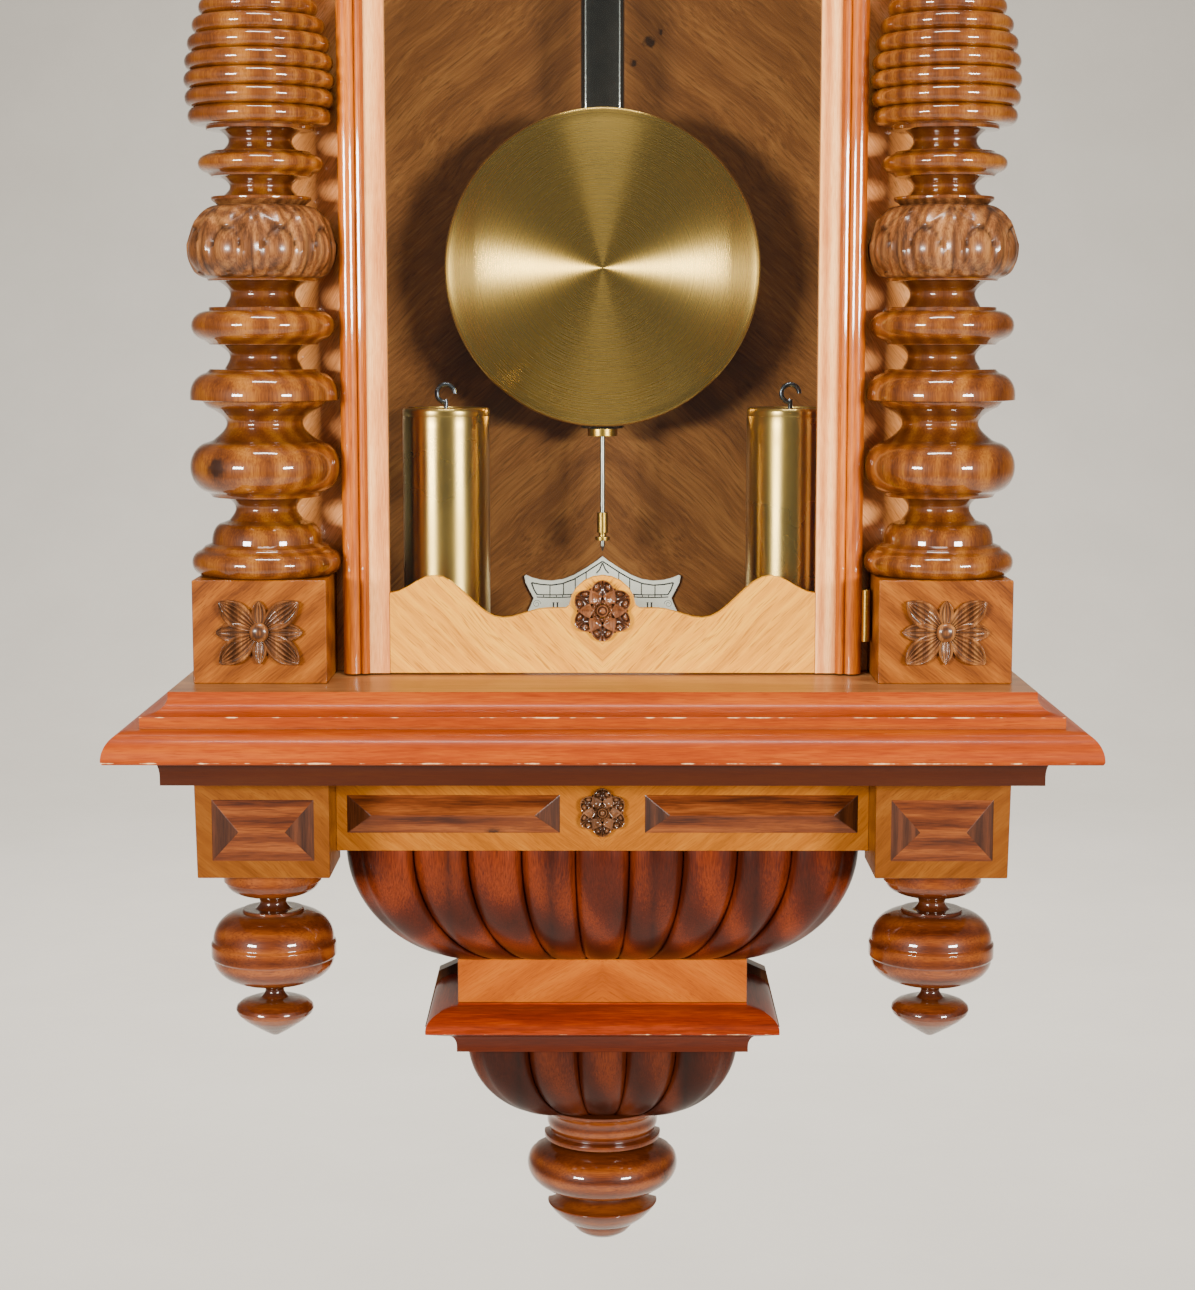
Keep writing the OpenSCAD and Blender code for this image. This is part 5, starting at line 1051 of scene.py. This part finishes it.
def leaf(length, half, rise, lines=3, start=3.2):
    # an almond with a raised smooth rim, long cut lines between, and a tip that lifts
    def width_at(t):
        return max(0.12, half * sin(pi * min(1.0, t * 0.93 + 0.06) ** 1.08) ** 0.72)

    def height_at(t, s):
        rim = hump(abs(s) - 0.86, 0.12)
        cuts = (0.5 + 0.5 * cos(2 * pi * lines * s)) * min(1.0, max(0.0, 0.8 - abs(s)) * 5) * min(1.0, (1 - t) * 4)
        low = 0.45 + 0.55 * min(1.0, t * 1.7)
        high = max(0.12, (0.62 + 0.36 * rim - 0.3 * cuts) * low + 0.1 * t ** 4)
        # the cuts and the leaf's root are darkened with painted shade
        return high, 0.8 * cuts * (1 - rim) + 0.4 * max(0.0, 1 - t / 0.2)
    return sculpted(length, start, rise, width_at, height_at, 30, 30)


def petal(length, start, half, rise):
    def width_at(t):
        tip = 1 if t < 0.9 else 1 - 2.2 * (t - 0.9)
        return max(0.15, half * sqrt(max(0.0, 1 - (1.15 * t - 0.25) ** 2 / 0.82)) * tip)

    def height_at(t, s):
        edge = max(abs(s), abs(2 * t - 1) ** 1.5)
        cup = 0.34 + 0.66 * edge ** 3 * (1 if edge < 0.86 else 1 - 2.4 * (edge - 0.86))
        # each petal ends in two curls: a groove runs round an eye on either side of its middle
        turned = hypot((t - 0.68) / 0.24, (abs(s) - 0.5) / 0.42)
        groove = hump(turned - 0.72, 0.17) * min(1.0, t * 2.5) + 0.8 * hump(s, 0.09)
        high = max(0.12, cup + 0.3 * max(0.0, 1 - turned) - 0.42 * groove)
        # the curls' grooves, the middle line and the hollow of the cup are darkened with painted shade
        return high, 0.5 * (1 - edge) ** 2 + 0.85 * groove
    return sculpted(length, start, rise, width_at, height_at)


def boss(radius, rise, rings, ball=False):
    # the button in the middle: a plain ball, or a rounded rim, a sunk ring and a small dome
    if ball:
        rows = [(radius * cos(a), rise * (0.3 + 0.7 * sin(a))) for a in (0, 0.25, 0.5, 0.75, 1.0, 1.2, 1.4)]
    else:
        rows = [(radius * r, rise * h) for r, h in ((1, 0), (1, 0.72), (0.93, 0.86), (0.8, 0.86), (0.68, 0.66),
                                                    (0.56, 0.7), (0.42, 0.92), (0.2, 1))]
    bm = bmesh.new()
    polish_and_shade = bm.verts.layers.float.new("polish_and_shade")
    made = []
    for k, (r, h) in enumerate(rows):
        made.append([bm.verts.new((r * cos(2 * pi * i / rings) / 1000, r * sin(2 * pi * i / rings) / 1000, h / 1000))
                     for i in range(rings)])
        for v in made[-1]:
            # painted shade at the foot of the boss and in its sunk ring
            v[polish_and_shade] = 0.8 if k in (0, 4, 5) else 0.0
    ringed(bm, made)
    bm.faces.new(made[-1])
    bm.faces.new(list(reversed(made[0])))
    smoothed(bm)
    return mesh_from("boss", bm)


def ring_of(mesh, wood_used, count, first=90.0, squash=1.0, other=1.0, radius=0.0):
    return grow(ring_tree, {"Count": count, "First angle": first, "Squash": squash, "Other size": other,
                            "Radius": radius, "Wood": wood_used}, mesh)


def flower_head(wood_used):
    return [ring_of(leaf(24.6, 6.3, 3.5), wood_used, 4, 45.0, 0.78),
            ring_of(leaf(21.3, 4.9, 2.4, 2), wood_used, 4, 0.0, 1.0, 0.735), boss(4.9, 3.95, 40, True)]


def rosette_head(diameter, wood_used):
    r = diameter / 2
    return [ring_of(petal(r, r * 0.24, r * 0.43, 3.6), wood_used, 6),
            ring_of(leaf(r * 0.84, r * 0.15, 2.2, 1), wood_used, 6, 120.0),
            ring_of(boss(r * 0.075, 3.3, 10), wood_used, 12, radius=r * 0.29 / 1000), boss(r * 0.2, 3.9, 28)]


def carvings(name, node, heads, places, material, stands_for=None, smooth=50):
    # heads lie flat in X and Y; each place (x, forward, z) turns them to face forward
    bm = bmesh.new()
    for x, forward, z in places:
        for head in heads:
            first = len(bm.verts)
            bm.from_mesh(head)
            bm.verts.ensure_lookup_table()
            for v in bm.verts[first:]:
                v.co = at(x + v.co.x * 1000, -(forward + v.co.z * 1000), z + v.co.y * 1000)
    for face in bm.faces:
        face.material_index = 0
    print(name, len(bm.faces), "faces")
    return grown(name, bm, [material], BODY[node], SLOT[node], [node] if stands_for is None else stands_for, smooth)


carvings("block_flowers_carved", "block_flowers", flower_head(carved_walnut),
         [(s * col_x, block_front - 0.05, z) for s in (-1, 1) for z in (block_h / 2, open_h - block_h / 2)],
         carved_walnut)
carvings("frieze_rosettes_carved", "frieze_rosettes", rosette_head(25, carved_rosette),
         [(0, front_y - 0.05, LOWER_Z0 + 20.2), (0, front_y - 0.05, open_h + corner_h / 2)], carved_rosette)
carvings("door_rosettes_carved", "door_rosettes", rosette_head(31, dark_rosette),
         [(0, door_y1 - 1.05, 33), (0, door_y1 - 1.05, open_h - 33)], dark_rosette)

# %% [markdown]
# The bottom finial is turned as a whole and then sawn flat at the wall, so that the clock hangs
# close. The top finial stands free.

# %% Centre finials
dish = [(0.4, -80), (6, -79.6), (11, -78.2), (15, -75.6), (17.6, -72.4), (18.4, -70.4), (20.4, -70.0),
        (22.6, -68.6), (26.4, -65.4), (29.4, -62.0), (31.1, -59.6), (31.4, -58.8), (30.8, -58.3),
        (27.4, -57.7), (24.4, -56.2), (22.3, -54.2), (21.4, -52.2), (21.6, -50.8)]
low = (dish + bead(-50, -22, 25, 43, 24) + fillet(-20, -17.5, 33.2)
       + fillet(-16.5, -15, 30) + cove(-14, -2, 30.5, 31.5, 35) + fillet(-1.5, -0.05, 36))


def sawn(r, a, h):
    # nothing may pass the wall, which is 4 mm behind the axis
    return (min(r, 3.95 / sin(a)) if sin(a) > 0.02 else r), 0.0


lathe("bottom_finial_turned", low, 0, -4, SMALL_Z0, [finial_walnut], "case", SLOT["bottom_finial"],
      ["bottom_finial"], shape=sawn, steps=180)
high = (fillet(0.05, 3, 15) + cove(3, 10, 12, 8, 12) + fillet(10, 12, 16) + bead(12, 34, 14, 24) + fillet(34, 36, 15)
        + cove(36, 43, 10, 6, 9) + bead(43, 62, 4, 11) + [(1, 66)])
lathe("crest_finial_turned", high, 0, -39.5, CORNICE_Z1 + 16 + 51, [finial_walnut], "case",
      SLOT["crest_finial"], ["crest_finial"])

# %% [markdown]
# The bob was spun from sheet brass over a lead core: a low dome front and back with a rim as
# thick as a finger. The weights are brass tubes with a lid pressed in below the rim.

# %% Bob, weights and their hooks
EDGE, HALF = 8.0, 13.0  # half the bob's thickness at the rim and in the middle
dome = [(0.4 + 82.6 * (i / 22), HALF - 0.02 - (HALF - EDGE) * (i / 22) ** 2) for i in range(22)]
front_half = dome + [(82.2, EDGE + 0.55), (82.9, EDGE + 0.35), (83.4, EDGE - 0.4)]
bob_outline = [(r, -h) for r, h in front_half] + [(83.45, -3.0), (83.45, 3.0)] + front_half[::-1]
lathe("pendulum_bob_spun", bob_outline, 0, BOB_Y, BOB_Z, [bob_brass], BODY["pendulum_bob"],
      SLOT["pendulum_bob"], ["pendulum_bob"], steps=240, axis="Y", smooth=50)


def weight_piece(node):
    low_corner, high_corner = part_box(node)
    x, y = 500 * (low_corner[0] + high_corner[0]), 500 * (low_corner[1] + high_corner[1])
    shell = [(1.0, 0.45), (20.2, 0.45), (21.6, 1.2), (22.45, 2.6), (22.45, 3.4), (22.3, 3.8), (22.45, 4.2),
             (22.45, 129.2), (22.3, 129.6), (22.45, 130.0), (22.45, 132.4), (21.9, 133.6), (21.0, 133.95),
             (19.9, 133.8), (19.5, 133.0), (1.0, 133.05)]
    made = lathe(node + "_spun", shell, x, y, 0, [weight_brass], BODY[node], SLOT[node], smooth=50, gap=6.0)
    # the wire hook on the lid keeps its CAD form
    bm = merged(node, lambda c: c.z > at(0, 0, 133.2).z and hypot(c.x * 1000 - x, c.y * 1000 - y) < 12, flat=0.1)
    for face in bm.faces:
        face.material_index = 1
    bm.from_mesh(made.data)
    bpy.data.objects.remove(made)
    return grown(node + "_brass", bm, [weight_brass, bluish_spring], BODY[node], SLOT[node], [node], 50)


for node in ("weight_left", "weight_right"):
    piece = weight_piece(node)
    print(node, len(piece.data.polygons), "faces")

# %% [markdown]
# Raised diamond panels. Each is four planes that meet in a ridge, and the picture shows the end
# facets much darker, because their grain runs into the wood there. So the planes are sorted by
# where they look.

# %% Diamond panels
dress("diamond_panels", [panel_walnut, facet_walnut], 0.35, 12, smooth=8,
      choose=lambda f: 1 if abs(f.normal.x) > 0.12 else 0)

# %% [markdown]
# The scale behind the pendulum's tip is a small enamel plate with printed lines. Its top is
# drawn like a tent with lifted corners; a double line follows it, ticks divide that band, and
# strokes, a chevron and four little scrolls fill the field.

# %% The scale plate and its printed lines
half_plate = [(0, 50), (3, 47.6), (9.6, 43.3), (16, 39.6), (22, 37.3), (28, 36.4), (34, 36.9), (39, 38.2),
              (42.2, 39.6), (43.2, 39.0), (42.6, 35.5), (40.4, 31.0), (38.1, 26.8), (39.8, 22.5),
              (42.0, 18.0), (43.1, 13.0), (41.5, 5)]
plate_outline = half_plate + [(-x, z) for x, z in reversed(half_plate[1:])]
bm = bmesh.new()
rings = [[bm.verts.new(at(x * k, -y, 27 + (z - 27) * k)) for x, z in plate_outline]
         for y, k in ((17.0, 1.0), (18.75, 1.0), (18.93, 0.994), (18.97, 0.985))]
ringed(bm, rings)
bm.faces.new(rings[-1])
bm.faces.new(list(reversed(rings[0])))
bmesh.ops.recalc_face_normals(bm, faces=bm.faces)


def printed(bm, path, width, y=18.985, slot=1):
    # a flat line of ink along a path of (x, z) points, a few hundredths of a millimetre thick
    rows = []
    for k, (x, z) in enumerate(path):
        a, b = path[max(k - 1, 0)], path[min(k + 1, len(path) - 1)]
        along = Vector((b[0] - a[0], b[1] - a[1])).normalized()
        rows.append([bm.verts.new(at(x - along.y * s * width / 2, -y, z + along.x * s * width / 2))
                     for s in (-1, 1)])
    for a, b in zip(rows, rows[1:]):
        face = bm.faces.new((a[0], b[0], b[1], a[1]))
        face.material_index = slot
        face.normal_update()
        if face.normal.y > 0:
            face.normal_flip()


inner_edge = [(4.0, 44.6), (9.6, 40.9), (16, 37.2), (22, 34.9), (28, 34.0), (34, 34.4), (39.2, 35.4)]
for side in (-1, 1):
    flip = [(side * x, z) for x, z in inner_edge]
    printed(bm, [(0, 47.2)] + flip, 0.75)
    printed(bm, flip[-1:] + [(side * 37.8, 31.5), (side * 36.2, 28.8)], 0.75)
    for low_z in (28.6, 27.2):
        printed(bm, [(side * (13 + 23.4 * i / 10), low_z + 1.4 * ((i / 10) - 0.6) ** 2) for i in range(11)], 0.62)
    for x, top in ((9, 41.2), (15, 37.7), (21.5, 35.1), (29, 34.0)):
        printed(bm, [(side * x, top), (side * x, 28.4)], 0.58)
    for x in (17.5, 22, 25.5, 29, 32.5):
        printed(bm, [(side * x, 28.6), (side * x, 27.2)], 0.5)
    for x in (24.9, 27.1):
        printed(bm, [(side * x, 24.4), (side * x, 21.6)], 0.85)
        printed(bm, [(side * (x - 0.75), 24.4), (side * (x + 0.75), 24.4)], 0.22)
        printed(bm, [(side * (x - 0.75), 21.6), (side * (x + 0.75), 21.6)], 0.22)
    printed(bm, [(0, 46.4), (side * 1.6, 42.6), (side * 3.4, 40.6)], 0.75)
    for x, z, size, way in ((36.4, 23.6, 2.3, 1), (38.6, 17.2, 2.0, -1)):
        scroll = [(size * (0.25 + 0.75 * i / 22), way * 0.43 * i) for i in range(23)]
        printed(bm, [(side * (x + r * cos(a)), z + r * sin(a)) for r, a in scroll], 0.22)
beat_piece = grown("beat_plate_printed", bm, [white_enamel, black_ink], BODY["beat_plate"], SLOT["beat_plate"],
                   ["beat_plate"])
print("scale plate:", len(beat_piece.data.polygons), "faces")

# %% [markdown]
# The dial is fired enamel too: a minute track of sixty strokes between two lines, and Roman
# hours that stand with their feet to the middle. Strokes that repeat round a centre are set by
# the same tree as the leaves.

# %% The minute track and the hours
DIAL_FRONT, DIAL_Z = -1000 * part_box("dial")[0][1] + 0.03, 695.0


def stroke(length, width):
    mesh = bpy.data.meshes.new("stroke")
    corners = [(0, -width / 2, 0), (length, -width / 2, 0), (length, width / 2, 0), (0, width / 2, 0)]
    mesh.from_pydata([[c / 1000 for c in corner] for corner in corners], [], [(0, 1, 2, 3)])
    return mesh


carvings("dial_minutes", "dial", [ring_of(stroke(4.2, 0.35), black_ink, 60, radius=0.0822),
                                  ring_of(stroke(4.2, 1.3), black_ink, 12, radius=0.0822)],
         [(0, DIAL_FRONT, DIAL_Z)], black_ink, [])
bm = bmesh.new()
for r in (82.0, 86.6):
    circle = [(r * sin(2 * pi * i / 120), DIAL_Z + r * cos(2 * pi * i / 120)) for i in range(121)]
    printed(bm, circle, 0.4, DIAL_FRONT, 0)
GLYPH_W = {"I": 4.0, "V": 9.6, "X": 9.6}
for hour, text in enumerate(("I", "II", "III", "IIII", "V", "VI", "VII", "VIII", "IX", "X", "XI", "XII"), 1):
    turn, u = pi * hour / 6, -sum(GLYPH_W[c] for c in text) / 2

    def on_dial(points):
        return [(p * cos(turn) + q * sin(turn), DIAL_Z - p * sin(turn) + q * cos(turn)) for p, q in points]

    for c in text:
        w = GLYPH_W[c]
        a, b, middle = u + 0.9, u + w - 0.9, u + w / 2
        thick = {"I": [(middle, 62), (middle, 77)], "V": [(a + 1, 77), (middle, 62)],
                 "X": [(a + 1, 77), (b - 1, 62)]}[c]
        printed(bm, on_dial(thick), 2.1, DIAL_FRONT, 0)
        thin = {"V": [(b - 1, 77), (middle, 62)], "X": [(b - 1, 77), (a + 1, 62)]}.get(c)
        if thin:
            printed(bm, on_dial(thin), 0.7, DIAL_FRONT + 0.004, 0)
        for q in (62, 77):
            printed(bm, on_dial([(u + 0.3, q), (u + w - 0.3, q)]), 0.5, DIAL_FRONT + 0.008, 0)
        u += w
grown("dial_hours", bm, [black_ink], BODY["dial"], SLOT["dial"])
print("dial: twelve hours and sixty minutes")

# %% [markdown]
# The rod is a lath with well rounded edges under black polish, so it shows two bright lines and
# a dark middle. Only its last centimetres by the crutch keep the CAD form.

# %% Pendulum rod
rod_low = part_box("pendulum_rod")[0]
ROD_HW, ROD_HT, ROD_TOP = 11.5, 4.0, 620.0  # half its width and thickness, and where the lath ends
bm = merged("pendulum_rod")
kept = [v for v in bm.verts if v.co.z < at(0, 0, 400).z]
bmesh.ops.translate(bm, verts=kept, vec=(0, 0, at(0, 0, ROD_TOP).z - rod_low[2]))
rounded(bm, 0.3)
loops = []
rod_z0 = rod_low[2] * 1000 + HANGER
for z, inset in ((rod_z0, 0.6), (rod_z0 + 0.6, 0), (300, 0), (450, 0), (ROD_TOP - 0.6, 0), (ROD_TOP, 0.6)):
    loop = []
    for i in range(32):
        a = 2 * pi * (i + 0.5) / 32
        c, s = cos(a), sin(a)
        x = (ROD_HW - 3.6 + (3.6 - inset) * abs(c)) * (1 if c > 0 else -1)
        loop.append(bm.verts.new(at(x, -50 + (ROD_HT - inset) * s, z)))
    loops.append(loop)
ringed(bm, loops)
capped(bm, loops)
grown("pendulum_rod_polished", bm, [ebonised], BODY["pendulum_rod"], SLOT["pendulum_rod"], ["pendulum_rod"])

# %% [markdown]
# Slotted screws hold the hanger plate and the scale plate.

# %% Screws
def screw_head(radius, rise, rings=24):
    # a low dome with a slot across it, made from two halves with a gap between them
    bm = bmesh.new()
    half_gap = radius * 0.13
    for side in (1, -1):
        rows = []
        for share, high in ((1.0, 0.0), (1.0, 0.35), (0.9, 0.7), (0.6, 0.93), (0.25, 1.0)):
            row = []
            for i in range(rings // 2 + 1):
                a = pi * i / (rings // 2)
                y = side * max(half_gap, share * radius * sin(a))
                row.append(bm.verts.new((share * radius * cos(a) / 1000, y / 1000, rise * high / 1000)))
            rows.append(row)
        for p, q in zip(rows, rows[1:]):
            for i in range(len(p) - 1):
                bm.faces.new((p[i], p[i + 1], q[i + 1], q[i]) if side > 0 else (p[i + 1], p[i], q[i], q[i + 1]))
        bm.faces.new(rows[-1] if side > 0 else list(reversed(rows[-1])))
        wall = [row[0] for row in rows] + [row[-1] for row in reversed(rows)]
        bm.faces.new(wall if side < 0 else list(reversed(wall)))
    # the slot's floor
    inside = radius * 0.98 / 1000
    bm.faces.new([bm.verts.new((inside * cos(2 * pi * i / rings), inside * sin(2 * pi * i / rings), rise * 0.2 / 1000))
                  for i in range(rings)])
    return mesh_from("screw_head", bm)


carvings("hanger_screws", "hanger_plate", [screw_head(3.6, 0.9)],
         [(x, 2.5, HANGER + z) for x in (-22, 22) for z in (-14, 9)], grained_steel, [], 30)
carvings("scale_screws", "beat_plate", [screw_head(1.9, 0.8)], [(x, 18.95, 12) for x in (-33, 33)], cast_brass, [], 30)

# %% [markdown]
# The inner strip of a door stile is paler than its moulding.

# %% Door stiles
dress("door_stiles", [door_walnut, strip_walnut], 0.25, 30,
      choose=lambda f: 1 if abs(f.calc_center_median().x) < (door_hw - 13.05) / 1000 else 0)

# %% [markdown]
# Everything else that is flat, cut or filed keeps its CAD form, with eased edges, and gets its
# finish.

# %% Dress the flat wood, the metalwork and the glass
PLAIN = {
    "backboard": back_walnut, "side_frames": dark_walnut, "case_top": dark_walnut, "front_stiles": inner_veneer,
    "column_blocks": block_walnut, "lower_frieze": frieze_veneer, "top_frieze": frieze_veneer,
    # the wall plate's dark brown also paints the shadow it lies in, low behind the bowls
    "corner_blocks": corner_veneer, "plinths": plinth_veneer, "wall_plate": dark_walnut,
    "door_top_rail": pale_veneer, "door_bottom_panel": pale_veneer, "dial": white_enamel,
    "dial_bezel": polished_brass,
    "suspension_spring": bluish_spring, "movement_frame": polished_brass, "seat_bracket": black_iron,
    "gong_stand": black_iron, "gong_coil": bluish_spring, "hanger_plate": grained_steel,
    "levelling_screws": cast_brass, "case_hinges": cast_brass, "door_hinges": cast_brass, "latch": cast_brass,
    "anchor": grained_steel, "escape_wheel": polished_brass, "third_wheel": polished_brass,
    "minute_wheel": polished_brass, "hour_hand": blued_steel,
    "strike_hammer": grained_steel, "gut_lines": gut,
    "pulley_frames": cast_brass, "sheave_left": polished_brass, "sheave_right": polished_brass,
    "side_panes": sheet_glass, "door_glass": sheet_glass,
}
SHARP = ("gut_lines", "gong_coil", "suspension_spring", "side_panes", "door_glass")
WIDE = {"column_blocks": 0.8, "corner_blocks": 0.6, "plinths": 0.6, "door_bottom_panel": 0.5}
for node, material in PLAIN.items():
    dress(node, [material], 0.0 if node in SHARP else WIDE.get(node, 0.3))
# the minute hand sits on the centre wheel's arbor, in front of the dial, and is blued like the other
dress("centre_wheel", [polished_brass, blued_steel], 0.15,
      choose=lambda f: 1 if -1000 * f.calc_center_median().y > DIAL_FRONT + 0.5 else 0)
# the rating nut is brass on a thin steel rod
dress("rating_nut", [cast_brass, grained_steel], 0.15,
      choose=lambda f: 1 if hypot(f.calc_center_median().x, f.calc_center_median().y + 0.05) < 0.0013 else 0)


def barrel_part(x):
    # brass drum and wheel, gut wound on the drum, and a steel arbor with its winding square
    def choose(face):
        middle = face.calc_center_median()
        away = hypot(middle.x * 1000 - x, (middle - at(0, 0, 686.28)).z * 1000)
        if 12.1 < away < 14.3 and face.calc_area() < 2e-5:
            return 1
        return 2 if away < 3.4 else 0
    return choose


for node, x in (("going_barrel", 34), ("strike_barrel", -34)):
    dress(node, [cast_brass, gut, grained_steel], 0, choose=barrel_part(x))
print(len(PLAIN) + 4, "nodes dressed")

# %% [markdown]
# A plain pale floor that sweeps up far behind the clock, two soft lamps in front to the left
# and right, which give each bead its pair of highlights, a weaker one above, and grey air.


# %% Floor, lamps and air
bm = bmesh.new()
rows = [(-7.0, -2.0)] + [(5.0 + 2.5 * s, -2.0 + 2.5 * (1 - c)) for s, c in quarter(12)] + [(7.5, 6.0)]
rails = [[bm.verts.new((x, y, z)) for y, z in rows] for x in (-45.0, 45.0)]
for a, b, c, d in zip(rails[0], rails[0][1:], rails[1][1:], rails[1]):
    bm.faces.new((a, d, c, b)).smooth = True
floor_sheet = placed_in_scene("studio_floor", mesh_from("studio_floor", bm))
# matt grey paper, which only catches the clock's soft shadow
floor_sheet.data.materials.append(coating("studio_paper", "#C9C5BE", "#C5C1BA", 0.9, scale=3))


def softbox(name, place, target, width, height, power, tone="#FFFAF2", spread=180):
    lamp = bpy.data.lights.new(name, "AREA")
    lamp.spread = radians(spread)
    lamp.shape = "RECTANGLE"
    lamp.size, lamp.size_y = width, height
    lamp.energy = power
    lamp.color = colour(tone)[:3]
    made = placed_in_scene(name, lamp)
    made.location = place
    made.rotation_euler = (Vector(target) - Vector(place)).to_track_quat("-Z", "Y").to_euler()


softbox("left_lamp", (-1.35, -1.85, -0.62), (0, -0.1, -0.8), 0.6, 0.25, 84)
softbox("right_lamp", (1.35, -1.85, -0.62), (0, -0.1, -0.8), 0.6, 0.25, 84)
softbox("upper_lamp", (0.0, -1.25, 2.2), (0, -0.1, -0.9), 1.5, 0.32, 115)
softbox("floor_lamp", (0.0, 1.6, 3.4), (0, 4.5, -1.6), 3.0, 2.0, 305, spread=108)
air = bpy.data.worlds.new("studio_air")
air.use_nodes = True
bpy.context.scene.world = air
air.node_tree.nodes["Background"].inputs["Color"].default_value = colour("#DCDAD6")
air.node_tree.nodes["Background"].inputs["Strength"].default_value = 0.29
